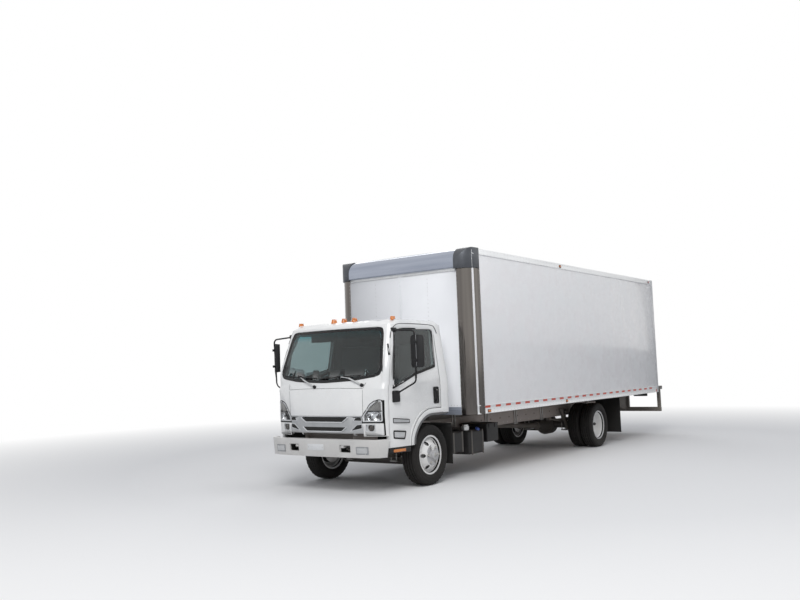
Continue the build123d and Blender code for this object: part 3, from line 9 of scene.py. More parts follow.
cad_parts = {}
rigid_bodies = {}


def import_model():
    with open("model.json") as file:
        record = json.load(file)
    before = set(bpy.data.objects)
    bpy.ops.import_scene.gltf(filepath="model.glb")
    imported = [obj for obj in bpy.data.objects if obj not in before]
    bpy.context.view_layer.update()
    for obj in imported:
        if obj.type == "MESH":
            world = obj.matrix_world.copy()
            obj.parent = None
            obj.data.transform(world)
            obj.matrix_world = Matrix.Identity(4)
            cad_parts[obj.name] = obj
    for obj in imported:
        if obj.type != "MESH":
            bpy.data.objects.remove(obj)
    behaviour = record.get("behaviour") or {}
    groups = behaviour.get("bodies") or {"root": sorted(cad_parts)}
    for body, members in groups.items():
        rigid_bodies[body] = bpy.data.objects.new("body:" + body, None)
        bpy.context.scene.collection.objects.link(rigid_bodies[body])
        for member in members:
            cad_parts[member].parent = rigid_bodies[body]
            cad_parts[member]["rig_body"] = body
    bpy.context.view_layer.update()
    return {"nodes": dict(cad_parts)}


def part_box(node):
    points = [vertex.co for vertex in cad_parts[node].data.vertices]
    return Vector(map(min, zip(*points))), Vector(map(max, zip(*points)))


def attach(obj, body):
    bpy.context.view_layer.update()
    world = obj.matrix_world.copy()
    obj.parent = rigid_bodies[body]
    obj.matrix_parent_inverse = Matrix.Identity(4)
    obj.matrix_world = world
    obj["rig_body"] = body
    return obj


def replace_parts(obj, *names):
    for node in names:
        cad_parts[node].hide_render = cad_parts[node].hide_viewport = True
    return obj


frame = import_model()
nodes = frame["nodes"]

# Places that many pieces share, in metres. +X is forward, +Y is the truck's left, +Z is up.
FRONT_AXLE = 3.715
REAR_AXLE = -1.67
HUB_HEIGHT = 0.405
FRONT_WHEEL_Y = 0.875
REAR_WHEEL_Y = 0.977
DUAL_SPACING = 0.254
MIRROR_Y = 1.262
MIRROR_Z = 1.792
SIDES = ((1, "left"), (-1, "right"))


def on_both_sides(make):
    """Makes something on each side of the truck."""
    for side, word in SIDES:
        make(side, word)


# Camera, where the photograph was taken from
def look_through_camera():
    """Puts the camera at the photograph's place, direction, roll and lens."""
    yaw, pitch, roll = 3.7798, 0.0845, -0.0355
    ahead = Vector((cos(pitch) * cos(yaw), cos(pitch) * sin(yaw), sin(pitch)))
    right = ahead.cross(Vector((0, 0, 1))).normalized()
    up = right.cross(ahead)
    right, up = right * cos(roll) + up * sin(roll), up * cos(roll) - right * sin(roll)
    camera = bpy.data.objects.new("Camera", bpy.data.cameras.new("Camera"))
    bpy.context.scene.collection.objects.link(camera)
    camera.data.sensor_width = 36
    camera.data.lens = 36.8
    camera.data.clip_end = 200
    matrix = camera.matrix_world.to_3x3()
    matrix.col[0], matrix.col[1], matrix.col[2] = right, up, -ahead
    camera.matrix_world = matrix.to_4x4()
    camera.location = (12.894, 7.353, 1.567)
    bpy.context.scene.camera = camera


look_through_camera()


# Holding and settling pieces
def let_go():
    """Leaves nothing selected."""
    bpy.ops.object.select_all(action="DESELECT")


def hold(piece):
    """Makes this piece the only one selected."""
    let_go()
    piece.select_set(True)
    bpy.context.view_layer.objects.active = piece


def fix_place(piece):
    """Moves a piece's place into its mesh."""
    hold(piece)
    bpy.ops.object.transform_apply(location=True, rotation=True, scale=True)
    return piece


@contextmanager
def editing(piece):
    """Edit mode, with the whole piece selected."""
    hold(piece)
    bpy.ops.object.mode_set(mode="EDIT")
    bpy.ops.mesh.select_all(action="SELECT")
    yield
    bpy.ops.object.mode_set(mode="OBJECT")


def use_modifier(piece, kind, **values):
    """Adds one modifier with these values and applies it."""
    hold(piece)
    bpy.ops.object.modifier_add(type=kind)
    modifier = piece.modifiers[-1]
    for key, value in values.items():
        setattr(modifier, key, value)
    bpy.ops.object.modifier_apply(modifier=modifier.name)


def smooth(piece, angle=35):
    """Shades a piece smooth, apart from its sharp edges."""
    hold(piece)
    bpy.ops.object.shade_smooth_by_angle(angle=radians(angle))
    return piece


def round_edges(piece, width, segments=2, angle=35):
    """Rounds every edge sharper than the angle."""
    if width:
        use_modifier(
            piece, "BEVEL", width=width, segments=segments, limit_method="ANGLE",
            angle_limit=radians(angle), miter_outer="MITER_ARC",
        )
    return smooth(piece, angle)


def settle(piece, name, material, body="chassis"):
    """Names a finished piece, gives it its finish, and makes it ride on its body."""
    fix_place(piece)
    piece.name = piece.data.name = name.replace(" ", "_")
    piece.data.materials.clear()
    piece.data.materials.append(material)
    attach(piece, body)
    return piece


def turn_outward(piece):
    """Points every face outwards."""
    with editing(piece):
        bpy.ops.mesh.normals_make_consistent(inside=False)
    return piece


def merge(piece, distance):
    """Joins points that lie together, and points every face outwards."""
    with editing(piece):
        bpy.ops.mesh.remove_doubles(threshold=distance)
        bpy.ops.mesh.normals_make_consistent(inside=False)
    return piece


def join(pieces):
    """Makes one piece of several."""
    let_go()
    for piece in pieces:
        piece.select_set(True)
    bpy.context.view_layer.objects.active = pieces[0]
    bpy.ops.object.join()
    return bpy.context.object


def copy_of(piece, shift=(0, 0, 0), flip_y=False):
    """A copy with its own mesh, shifted, or turned over to the truck's other side."""
    hold(piece)
    bpy.ops.object.duplicate()
    twin = bpy.context.object
    bpy.ops.transform.translate(value=shift)
    if flip_y:
        bpy.ops.transform.mirror(constraint_axis=(False, True, False), center_override=(0, 0, 0))
        fix_place(twin)
        turn_outward(twin)
    return fix_place(twin)


def copy_and_join(piece, shift):
    """A piece joined with its shifted copy."""
    return join([piece, copy_of(piece, shift)])


def both_sides(piece):
    """The piece joined with its mirror image."""
    return join([piece, copy_of(piece, flip_y=True)])


# Shapes that pieces start from
def block(low, high, edge=0.003, segments=2):
    """A bar or box between two opposite corners, with its edges rounded."""
    low, high = Vector([*map(min, low, high)]), Vector([*map(max, low, high)])
    let_go()
    bpy.ops.mesh.primitive_cube_add(size=1, location=(low + high) / 2, scale=high - low)
    return round_edges(fix_place(bpy.context.object), edge, segments)


def rod(start, end, radius, edge=0.001, sides=24, end_radius=None):
    """A round bar between two points, tapered if its end has its own radius."""
    start, end = Vector(start), Vector(end)
    let_go()
    bpy.ops.mesh.primitive_cone_add(
        vertices=sides,
        radius1=radius,
        radius2=radius if end_radius is None else end_radius,
        depth=(end - start).length,
        location=(start + end) / 2,
        rotation=(end - start).to_track_quat("Z", "Y").to_euler(),
    )
    return round_edges(fix_place(bpy.context.object), edge)


def pipe(points, radius, order=3, sides=3, smoothness=8, closed=False):
    """A tube along a smooth line that these points pull on."""
    let_go()
    bpy.ops.curve.primitive_nurbs_path_add(radius=1)
    piece = bpy.context.object
    line = piece.data
    line.splines.clear()
    spline = line.splines.new("NURBS")
    spline.points.add(len(points) - 1)
    for point, place in zip(spline.points, points):
        point.co = (*place, 1)
    spline.order_u = order
    spline.use_endpoint_u = not closed
    spline.use_cyclic_u = closed
    line.dimensions = "3D"
    line.resolution_u = smoothness
    line.bevel_depth = radius
    line.bevel_resolution = sides
    line.use_fill_caps = not closed
    hold(piece)
    bpy.ops.object.convert(target="MESH")
    return smooth(merge(bpy.context.object, 0.00001), 50)


def outline_mesh(points, fill):
    """A closed line, or a sheet, through these points."""
    let_go()
    bpy.ops.mesh.primitive_circle_add(vertices=len(points), radius=1, fill_type=fill)
    piece = bpy.context.object
    for vertex, point in zip(piece.data.vertices, points):
        vertex.co = point
    return piece


def spun(profile, centre, axis, steps=32):
    """A turned form: its outline is given as radius and distance along its axis."""
    axis = Vector(axis).normalized()
    centre = Vector(centre)
    outward = axis.orthogonal().normalized()
    points = [centre + outward * radius + axis * along for radius, along in profile]
    piece = outline_mesh(points, "NOTHING")
    with editing(piece):
        bpy.ops.mesh.spin(steps=steps, angle=2 * pi, center=centre, axis=axis)
    return merge(piece, 0.00002)


def turned(profile, centre, axis, edge=0.0, steps=32, angle=40):
    """A turned form, ready to be finished."""
    return round_edges(spun(profile, centre, axis, steps), edge, angle=angle)


def repeat_round(piece, count, centre, axis):
    """The piece repeated evenly round an axis."""
    angle = 2 * pi * (count - 1) / count
    with editing(piece):
        bpy.ops.mesh.spin(steps=count - 1, dupli=True, angle=angle, center=centre, axis=axis)
    return piece


def repeat_along(piece, step, count):
    """The piece repeated in a row."""
    if count > 1:
        use_modifier(
            piece, "ARRAY", count=count, use_relative_offset=False, use_constant_offset=True,
            constant_offset_displace=step,
        )
    return piece


def dome(place, radius, normal, rise=0.45, sides=8):
    """One low rivet head."""
    let_go()
    bpy.ops.mesh.primitive_uv_sphere_add(
        segments=sides, ring_count=4, radius=radius, location=place,
        rotation=Vector(normal).to_track_quat("Z", "Y").to_euler(), scale=(1, 1, rise),
    )
    return smooth(fix_place(bpy.context.object), 70)


def rivet_row(start, step, count, radius, normal):
    """A row of rivet heads that starts here."""
    return repeat_along(dome(start, radius, normal), step, count)


def dressed(node, name, material, width=0.0, angle=30, segments=2, flat=0.5):
    """A copy of a CAD node, merged, whole-faced, with rounded edges, which stands for it."""
    hold(nodes[node])
    bpy.ops.object.duplicate()
    piece = bpy.context.object
    for key in list(piece.keys()):
        del piece[key]
    piece.parent = None
    with editing(piece):
        bpy.ops.mesh.remove_doubles(threshold=0.00002)
        bpy.ops.mesh.dissolve_limited(angle_limit=radians(flat))
    round_edges(piece, width, segments, angle)
    settle(piece, name, material, nodes[node]["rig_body"])
    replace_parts(piece, node)
    return piece


# Finishes: effects that several of them share
def put(tree, kind, takes=None, **values):
    """Adds one node, sets its values, and fills or links what it takes."""
    node = tree.nodes.new("ShaderNode" + kind)
    for key, value in values.items():
        setattr(node, key, value)
    for key, source in (takes or {}).items():
        if isinstance(source, bpy.types.NodeSocket):
            tree.links.new(source, node.inputs[key])
        else:
            node.inputs[key].default_value = source
    return node


def effect(name, takes, gives):
    """An empty node group with these inputs and outputs."""
    tree = bpy.data.node_groups.new(name, "ShaderNodeTree")
    for label, kind, value in takes:
        entry = tree.interface.new_socket(label, in_out="INPUT", socket_type="NodeSocket" + kind)
        entry.default_value = value
    for label, kind in gives:
        tree.interface.new_socket(label, in_out="OUTPUT", socket_type="NodeSocket" + kind)
    return tree, tree.nodes.new("NodeGroupInput").outputs, tree.nodes.new("NodeGroupOutput").inputs


def make_road_film():
    """Dust that thins out upwards, lies on upward faces, and dulls what it covers."""
    tree, takes, gives = effect(
        "Road Film",
        (
            ("Colour", "Color", (0.8, 0.8, 0.8, 1)),
            ("Roughness", "Float", 0.5),
            ("Dust Colour", "Color", (0.33, 0.29, 0.24, 1)),
            ("Amount", "Float", 0.3),
            ("Reach", "Float", 1.2),
        ),
        (("Colour", "Color"), ("Roughness", "Float")),
    )
    place = put(tree, "TexCoord").outputs["Object"]
    height = put(tree, "SeparateXYZ", {0: place}).outputs[2]
    fade = put(tree, "MapRange", {0: height, 1: 0.0, 2: takes["Reach"], 3: 1.0, 4: 0.0})
    ledge = put(tree, "SeparateXYZ", {0: put(tree, "NewGeometry").outputs["Normal"]}).outputs[2]
    ledge = put(tree, "MapRange", {0: ledge, 1: 0.25, 2: 1.0, 3: 0.0, 4: 0.3})
    both = put(tree, "Math", {0: fade.outputs[0], 1: ledge.outputs[0]}, operation="ADD")
    cloud = put(tree, "TexNoise", {"Vector": place, "Scale": 2.6, "Detail": 7, "Roughness": 0.62})
    cloud = put(tree, "MapRange", {0: cloud.outputs[0], 1: 0.32, 2: 0.68, 3: 0.25, 4: 1.0})
    speck = put(tree, "TexNoise", {"Vector": place, "Scale": 90.0, "Detail": 3})
    speck = put(tree, "MapRange", {0: speck.outputs[0], 1: 0.3, 2: 0.7, 3: 0.6, 4: 1.0})
    mask = put(tree, "Math", {0: both.outputs[0], 1: cloud.outputs[0]}, operation="MULTIPLY")
    mask = put(tree, "Math", {0: mask.outputs[0], 1: speck.outputs[0]}, operation="MULTIPLY")
    mask = put(
        tree, "Math", {0: mask.outputs[0], 1: takes["Amount"]}, operation="MULTIPLY", use_clamp=True
    ).outputs[0]
    colour = put(
        tree, "Mix", {0: mask, 6: takes["Colour"], 7: takes["Dust Colour"]}, data_type="RGBA"
    )
    rough = put(tree, "Mix", {0: mask, 2: takes["Roughness"], 3: 0.85})
    tree.links.new(colour.outputs[2], gives["Colour"])
    tree.links.new(rough.outputs[0], gives["Roughness"])
    return tree


def make_grain():
    """Fine and coarse unevenness: a value between two limits, a height, and a tone."""
    tree, takes, gives = effect(
        "Surface Grain",
        (
            ("Scale", "Float", 60.0),
            ("Low", "Float", 0.3),
            ("High", "Float", 0.5),
            ("Stretch", "Vector", (1.0, 1.0, 1.0)),
        ),
        (("Value", "Float"), ("Height", "Float"), ("Tone", "Float")),
    )
    place = put(tree, "TexCoord").outputs["Object"]
    place = put(
        tree, "VectorMath", {0: place, 1: takes["Stretch"]}, operation="MULTIPLY"
    ).outputs[0]
    fine = put(tree, "TexNoise", {"Vector": place, "Scale": takes["Scale"], "Detail": 5})
    wide = put(tree, "Math", {0: takes["Scale"], 1: 0.045}, operation="MULTIPLY")
    wide = put(tree, "TexNoise", {"Vector": place, "Scale": wide.outputs[0], "Detail": 4})
    both = put(tree, "Math", {0: fine.outputs[0], 1: wide.outputs[0]}, operation="ADD")
    value = put(
        tree, "MapRange", {0: both.outputs[0], 1: 0.75, 2: 1.25, 3: takes["Low"], 4: takes["High"]}
    )
    tone = put(tree, "MapRange", {0: wide.outputs[0], 1: 0.3, 2: 0.7})
    tree.links.new(value.outputs[0], gives["Value"])
    tree.links.new(fine.outputs[0], gives["Height"])
    tree.links.new(tone.outputs[0], gives["Tone"])
    return tree


def make_sheet_waves():
    """The slow unevenness of a large thin sheet."""
    tree, takes, gives = effect(
        "Sheet Waves", (("Scale", "Vector", (1.0, 1.0, 1.0)),), (("Height", "Float"),)
    )
    place = put(tree, "TexCoord").outputs["Object"]
    place = put(tree, "VectorMath", {0: place, 1: takes["Scale"]}, operation="MULTIPLY").outputs[0]
    swell = put(tree, "TexNoise", {"Vector": place, "Scale": 1.0, "Detail": 1.5})
    tree.links.new(swell.outputs[0], gives["Height"])
    return tree


def make_chips():
    """Scattered small scars: one where the surface is scarred, nought elsewhere."""
    tree, takes, gives = effect(
        "Scars", (("Scale", "Float", 14.0), ("Share", "Float", 0.3)), (("Mask", "Float"),)
    )
    place = put(tree, "TexCoord").outputs["Object"]
    cell = put(tree, "TexNoise", {"Vector": place, "Scale": takes["Scale"], "Detail": 9})
    zone = put(tree, "Math", {0: takes["Scale"], 1: 0.12}, operation="MULTIPLY")
    zone = put(tree, "TexNoise", {"Vector": place, "Scale": zone.outputs[0], "Detail": 3})
    both = put(tree, "Math", {0: cell.outputs[0], 1: zone.outputs[0]}, operation="ADD")
    edge = put(tree, "Math", {0: 1.38, 1: takes["Share"]}, operation="SUBTRACT")
    stop = put(tree, "Math", {0: edge.outputs[0], 1: 0.05}, operation="ADD")
    mask = put(
        tree, "MapRange", {0: both.outputs[0], 1: edge.outputs[0], 2: stop.outputs[0]}
    )
    tree.links.new(mask.outputs[0], gives["Mask"])
    return tree


road_film = make_road_film()
grain = make_grain()
sheet_waves = make_sheet_waves()
scars = make_chips()


def finish(
    name, slot, colour, rough, tone=None, metal=0.0, scale=60.0, stretch=(1, 1, 1), bump=0.0,
    film=(0.35, 1.3), waves=None, worn=None, **constants
):
    """A finish with its own grain, its tone's drift, its road film, and its scars."""
    material = bpy.data.materials.new(name)
    material.use_nodes = True
    tree = material.node_tree
    shader = tree.nodes["Principled BSDF"]
    tone = tone or tuple(0.86 * part for part in colour)
    surface = put(
        tree, "Group", {"Scale": scale, "Low": rough[0], "High": rough[1], "Stretch": stretch},
        node_tree=grain,
    )
    base = put(
        tree, "Mix", {0: surface.outputs["Tone"], 6: (*colour, 1), 7: (*tone, 1)}, data_type="RGBA"
    ).outputs[2]
    if worn:
        share, bare = worn
        mask = put(tree, "Group", {"Share": share}, node_tree=scars).outputs[0]
        base = put(tree, "Mix", {0: mask, 6: base, 7: (*bare, 1)}, data_type="RGBA").outputs[2]
    dust = put(
        tree, "Group",
        {
            "Colour": base, "Roughness": surface.outputs["Value"], "Amount": film[0],
            "Reach": film[1],
        },
        node_tree=road_film,
    )
    tree.links.new(dust.outputs["Colour"], shader.inputs["Base Color"])
    tree.links.new(dust.outputs["Roughness"], shader.inputs["Roughness"])
    shader.inputs["Metallic"].default_value = metal
    lumps = put(tree, "Bump", {"Height": surface.outputs["Height"], "Strength": bump or 0.02})
    lumps.inputs["Distance"].default_value = 0.001
    if waves:
        swell = put(tree, "Group", {"Scale": waves[0]}, node_tree=sheet_waves).outputs[0]
        swell = put(tree, "Bump", {"Height": swell, "Strength": 1.0, "Distance": waves[1]})
        tree.links.new(swell.outputs[0], lumps.inputs["Normal"])
    tree.links.new(lumps.outputs[0], shader.inputs["Normal"])
    for label, value in constants.items():
        shader.inputs[label.replace("_", " ")].default_value = value
    return material


def spread_colour(material, second, mask):
    """Paints a second colour over a finish where a mask socket says, under its road film."""
    tree = material.node_tree
    dust = next(n for n in tree.nodes if getattr(n, "node_tree", None) == road_film)
    link = dust.inputs["Colour"].links[0]
    mix = put(tree, "Mix", {0: mask, 6: link.from_socket, 7: (*second, 1)}, data_type="RGBA")
    tree.links.new(mix.outputs[2], dust.inputs["Colour"])


# Finishes: paint, metal and glass
cab_paint = finish(
    "Cab paint", "white_paint", (0.8, 0.8, 0.79), (0.24, 0.32), (0.76, 0.765, 0.76), scale=120,
    film=(0.22, 1.0), Coat_Weight=0.6, Coat_Roughness=0.05,
)
# Pale grey paint, made darker still as painted shade for the bumper's face, which leans down away
# from the light.
bumper_paint_with_painted_shade = finish(
    "Bumper paint with painted shade", "white_paint", (0.62, 0.61, 0.6), (0.3, 0.42), (0.56, 0.555, 0.54), scale=90,
    film=(0.35, 1.0), Coat_Weight=0.35, Coat_Roughness=0.12,
)
body_paint = finish(
    "Body panel paint", "white_paint", (0.8, 0.79, 0.8), (0.22, 0.34), (0.79, 0.8, 0.81),
    scale=70, film=(0.1, 1.9), waves=((0.55, 0.55, 1.3), 0.01), Coat_Weight=0.4,
    Coat_Roughness=0.08,
)
# Painted light: the front wall is the same white panel paint as the sides, made lighter because the
# front faces the light.
front_paint_with_painted_light = finish(
    "Front wall paint with painted light", "white_paint", (0.86, 0.87, 0.89), (0.5, 0.62), (0.83, 0.84, 0.86),
    scale=60, film=(0.08, 1.9), waves=((0.8, 1.6, 1.1), 0.002), Specular_IOR_Level=0.25,
)
# Painted reflection: the dark brown base and the vertical streaks in its tone stand for dark
# surroundings mirrored in the polished posts.
polished_steel = finish(
    "Polished corner steel with painted reflection", "polished_steel", (0.2, 0.185, 0.17), (0.08, 0.2), (0.11, 0.1, 0.095),
    metal=1.0, scale=260, stretch=(1, 1, 0.02), film=(0.08, 1.8), bump=0.04,
)
satin_aluminium = finish(
    "Satin aluminium", "aluminium", (0.38, 0.41, 0.48), (0.13, 0.22), (0.3, 0.33, 0.4), metal=1.0,
    scale=260, stretch=(1, 0.06, 1), film=(0.12, 1.6), bump=0.06,
)
rail_aluminium = finish(
    "Rail aluminium", "aluminium", (0.8, 0.81, 0.82), (0.3, 0.48), (0.7, 0.71, 0.72), metal=0.85,
    scale=240, stretch=(0.05, 1, 1), film=(0.16, 1.5), bump=0.06,
)
# Partly painted shade: grey cast metal, made as dark as the caps' shaded faces.
cast_metal_with_painted_shade = finish(
    "Cast corner metal with painted shade", "aluminium", (0.105, 0.112, 0.125), (0.3, 0.46), (0.08, 0.085, 0.095),
    metal=0.8,
    scale=150, film=(0.2, 1.5), bump=0.25,
)
tank_aluminium = finish(
    "Tank aluminium", "aluminium", (0.62, 0.63, 0.64), (0.25, 0.45), (0.52, 0.53, 0.54), metal=1.0,
    scale=160, stretch=(0.08, 1, 1), film=(0.3, 1.2), bump=0.05,
)
ribbed_aluminium = finish(
    "Ribbed rail aluminium", "aluminium", (0.5, 0.54, 0.62), (0.26, 0.4), (0.42, 0.46, 0.54),
    metal=0.7,
    scale=200, stretch=(1, 0.05, 1), film=(0.2, 1.5), bump=0.05,
)
pale_trim = finish(
    "Pale moulded trim", "grey_plastic", (0.66, 0.67, 0.68), (0.22, 0.34), (0.6, 0.61, 0.62),
    scale=150,
    film=(0.1, 1.2), Coat_Weight=0.3,
)
turn_fill = finish(
    "Turn lamp fill", "lamp_clear", (0.34, 0.33, 0.32), (0.3, 0.45), (0.28, 0.27, 0.26), scale=600,
    stretch=(1, 1, 0.4),
    film=(0.05, 2), bump=0.4,
)
# Painted light: the chassis rails carry the same dark chassis paint, and this much lighter copy
# stands for light on their outer webs.
rail_paint_with_painted_light = finish(
    "Frame rail paint with painted light", "frame_paint", (0.3, 0.265, 0.25), (0.5, 0.7), (0.34, 0.3, 0.275), scale=45,
    film=(0.55, 0.8), bump=0.15, worn=(0.05, (0.16, 0.11, 0.08)),
)
frame_grey = finish(
    "Lamp frame grey", "grey_plastic", (0.3, 0.31, 0.32), (0.3, 0.42), (0.26, 0.27, 0.28),
    scale=150,
    film=(0.1, 1.2),
)
roof_aluminium = finish(
    "Roof sheet", "aluminium", (0.78, 0.79, 0.8), (0.35, 0.55), (0.7, 0.71, 0.72), metal=0.25,
    scale=40, film=(0.3, 0.5), waves=((1.2, 0.8, 1), 0.006),
)
chrome = finish(
    "Lamp reflector", "polished_steel", (0.86, 0.87, 0.88), (0.04, 0.1), (0.8, 0.81, 0.82),
    metal=1.0, scale=200, film=(0.05, 1.0),
)
mirror_face = finish(
    "Mirror face", "polished_steel", (0.82, 0.84, 0.86), (0.01, 0.04), (0.78, 0.8, 0.82), metal=1.0,
    scale=80, film=(0.04, 2.5),
)
wiper_steel = finish(
    "Wiper arm metal", "steel", (0.6, 0.61, 0.62), (0.3, 0.42), metal=0.9, scale=300,
    film=(0.2, 2.0), bump=0.05,
)
bolt_steel = finish(
    "Zinc fastener", "steel", (0.55, 0.55, 0.54), (0.32, 0.5), (0.42, 0.41, 0.39), metal=0.9,
    scale=300, film=(0.25, 1.3), bump=0.1,
)
machined_steel = finish(
    "Machined steel", "steel", (0.42, 0.42, 0.41), (0.3, 0.5), (0.3, 0.29, 0.28), metal=0.9,
    scale=220, film=(0.22, 1.2), bump=0.12,
)
exhaust_steel = finish(
    "Exhaust steel", "steel", (0.36, 0.34, 0.32), (0.35, 0.6), (0.28, 0.23, 0.19), metal=0.9,
    scale=120, film=(0.3, 1.2), bump=0.15, worn=(0.35, (0.3, 0.17, 0.1)),
)
wheel_paint = finish(
    "Wheel paint", "white_steel", (0.82, 0.82, 0.82), (0.32, 0.45), (0.72, 0.71, 0.69), scale=90,
    film=(0.28, 1.1), worn=(0.03, (0.4, 0.3, 0.24)), Coat_Weight=0.2,
)
frame_paint = finish(
    "Chassis paint", "frame_paint", (0.085, 0.078, 0.072), (0.45, 0.65), (0.115, 0.103, 0.092),
    scale=70, film=(0.55, 1.5), bump=0.15, worn=(0.06, (0.16, 0.11, 0.08)),
)
cast_iron = finish(
    "Cast iron", "cast_iron", (0.05, 0.048, 0.046), (0.5, 0.72), (0.07, 0.064, 0.058), scale=110,
    film=(0.3, 1.2), bump=0.4, worn=(0.08, (0.12, 0.085, 0.06)),
)
hub_black = finish(
    "Hub paint", "cast_iron", (0.46, 0.46, 0.47), (0.28, 0.45), scale=120, film=(0.12, 1.3),
    bump=0.1,
)
galvanised = finish(
    "Galvanised steel", "galvanised", (0.55, 0.56, 0.57), (0.34, 0.55), (0.44, 0.45, 0.47),
    metal=0.7, scale=26, film=(0.25, 1.4), bump=0.05,
)
grille_silver = finish(
    "Grille silver", "grey_plastic", (0.48, 0.49, 0.5), (0.28, 0.4), (0.42, 0.43, 0.44), metal=0.6,
    scale=160, film=(0.12, 1.2), Coat_Weight=0.2,
)

# Finishes: plastic, rubber and trim
black_plastic = finish(
    "Textured black plastic", "black_plastic", (0.012, 0.012, 0.013), (0.42, 0.58),
    (0.018, 0.018, 0.019), scale=420, film=(0.06, 1.2), bump=0.35, Specular_IOR_Level=0.25,
)
gloss_black = finish(
    "Gloss black", "black_plastic", (0.008, 0.008, 0.009), (0.08, 0.18), (0.012, 0.012, 0.013),
    scale=90, film=(0.05, 1.6), Specular_IOR_Level=0.3,
)
rubber = finish(
    "Black rubber", "rubber", (0.012, 0.012, 0.012), (0.55, 0.72), (0.018, 0.018, 0.017), scale=240,
    film=(0.06, 1.2), bump=0.2, Specular_IOR_Level=0.25,
)
flap_rubber = finish(
    "Mud flap rubber", "rubber", (0.014, 0.014, 0.014), (0.6, 0.8), (0.02, 0.019, 0.018), scale=60,
    film=(0.04, 0.8), bump=0.25, Specular_IOR_Level=0.25,
)
tyre_rubber = finish(
    "Tyre rubber", "tyre", (0.011, 0.011, 0.011), (0.66, 0.84), (0.016, 0.015, 0.015), scale=150,
    film=(0.07, 0.9), bump=0.3, Specular_IOR_Level=0.18,
)
trim_grey = finish(
    "Cab trim plastic", "grey_plastic", (0.115, 0.117, 0.12), (0.5, 0.66), (0.09, 0.092, 0.095),
    scale=380, film=(0.1, 1.6), bump=0.3,
)
# Painted shade: the pale lining is made dark so that the cab seen through the glass looks dim.
lining_with_painted_shade = finish(
    "Cab lining with painted shade", "grey_plastic", (0.075, 0.075, 0.072), (0.6, 0.78), (0.062, 0.062, 0.06),
    scale=300,
    film=(0.08, 1.6), bump=0.3,
)
mesh_dark = finish(
    "Radiator mesh", "black_plastic", (0.03, 0.03, 0.031), (0.5, 0.7), scale=500,
    film=(0.12, 1.3), bump=0.4,
)
blue_plastic = finish(
    "Blue cap plastic", "black_plastic", (0.03, 0.1, 0.45), (0.35, 0.5), (0.025, 0.08, 0.36),
    scale=200, film=(0.3, 1.2),
)
dial_face = finish(
    "Dial face", "black_plastic", (0.015, 0.016, 0.018), (0.2, 0.3), scale=200, film=(0.02, 1.0),
)
dial_mark = finish(
    "Dial mark", "grey_plastic", (0.75, 0.76, 0.76), (0.4, 0.5), scale=200, film=(0.02, 1.0),
)
floor_wood = finish(
    "Laminated floor wood", "wood", (0.36, 0.22, 0.11), (0.5, 0.7), (0.26, 0.15, 0.07), scale=60,
    stretch=(0.06, 1, 1), film=(0.3, 1.4), bump=0.2,
)
silver_tape = finish(
    "Pale reflective tape", "grey_plastic", (0.74, 0.75, 0.76), (0.22, 0.32), scale=700,
    film=(0.12, 1.5), bump=0.1,
)
red_tape = finish(
    "Red reflective tape", "lamp_amber", (0.58, 0.06, 0.022), (0.22, 0.34), (0.46, 0.04, 0.016),
    scale=700, film=(0.12, 1.5), bump=0.1,
)


def lens(name, slot, colour, deep, see_through, ribs=420.0):
    """Moulded lamp plastic with fine ribs under a glossy face."""
    material = finish(
        name, slot, colour, (0.06, 0.14), deep, scale=200, film=(0.22, 1.6), Coat_Weight=0.8,
        Coat_Roughness=0.03, Transmission_Weight=see_through, IOR=1.49,
    )
    tree = material.node_tree
    shader = tree.nodes["Principled BSDF"]
    place = put(tree, "TexCoord").outputs["Object"]
    flutes = put(tree, "TexWave", {"Vector": place, "Scale": ribs / 6.0}, bands_direction="Y")
    last = shader.inputs["Normal"].links[0].from_socket
    relief = put(
        tree, "Bump",
        {"Height": flutes.outputs["Fac"], "Strength": 0.25, "Distance": 0.0006, "Normal": last},
    )
    tree.links.new(relief.outputs[0], shader.inputs["Normal"])
    return material


amber_lens = lens("Amber lens", "lamp_amber", (0.85, 0.26, 0.015), (0.7, 0.18, 0.01), 0.25)
red_lens = lens("Red lens", "lamp_amber", (0.5, 0.012, 0.012), (0.38, 0.008, 0.008), 0.2)
white_lens = lens("White lens", "lamp_clear", (0.8, 0.81, 0.82), (0.72, 0.73, 0.74), 0.35)
dark_lens = lens("Dark corner lens", "lamp_clear", (0.035, 0.025, 0.022), (0.02, 0.015, 0.014), 0.1)


def clear(name, slot, tint, deep, rough=(0.0, 0.03)):
    """Clear glazing with a faint film on it."""
    return finish(
        name, slot, tint, rough, deep, scale=12, film=(0.05, 2.4), Transmission_Weight=1.0,
        IOR=1.46,
    )


cab_glazing = clear("Cab glass", "glass", (0.52, 0.6, 0.6), (0.49, 0.57, 0.57))
lamp_glazing = clear("Headlamp glass", "lamp_clear", (0.93, 0.94, 0.95), (0.9, 0.91, 0.92))


def tint_top_band():
    """Gives the windshield its teal band along the top."""
    # The dark tint is partly the glass's own and partly painted shade, dimming the cab seen through
    # it.
    material = clear("Windshield glass with painted shade", "glass", (0.31, 0.4, 0.41), (0.29, 0.38, 0.39))
    tree = material.node_tree
    place = put(tree, "TexCoord").outputs["Object"]
    height = put(tree, "SeparateXYZ", {0: place}).outputs[2]
    band = put(tree, "MapRange", {0: height, 1: 1.99, 2: 2.07}).outputs[0]
    spread_colour(material, (0.05, 0.3, 0.34), band)
    return material


windshield_glazing = tint_top_band()


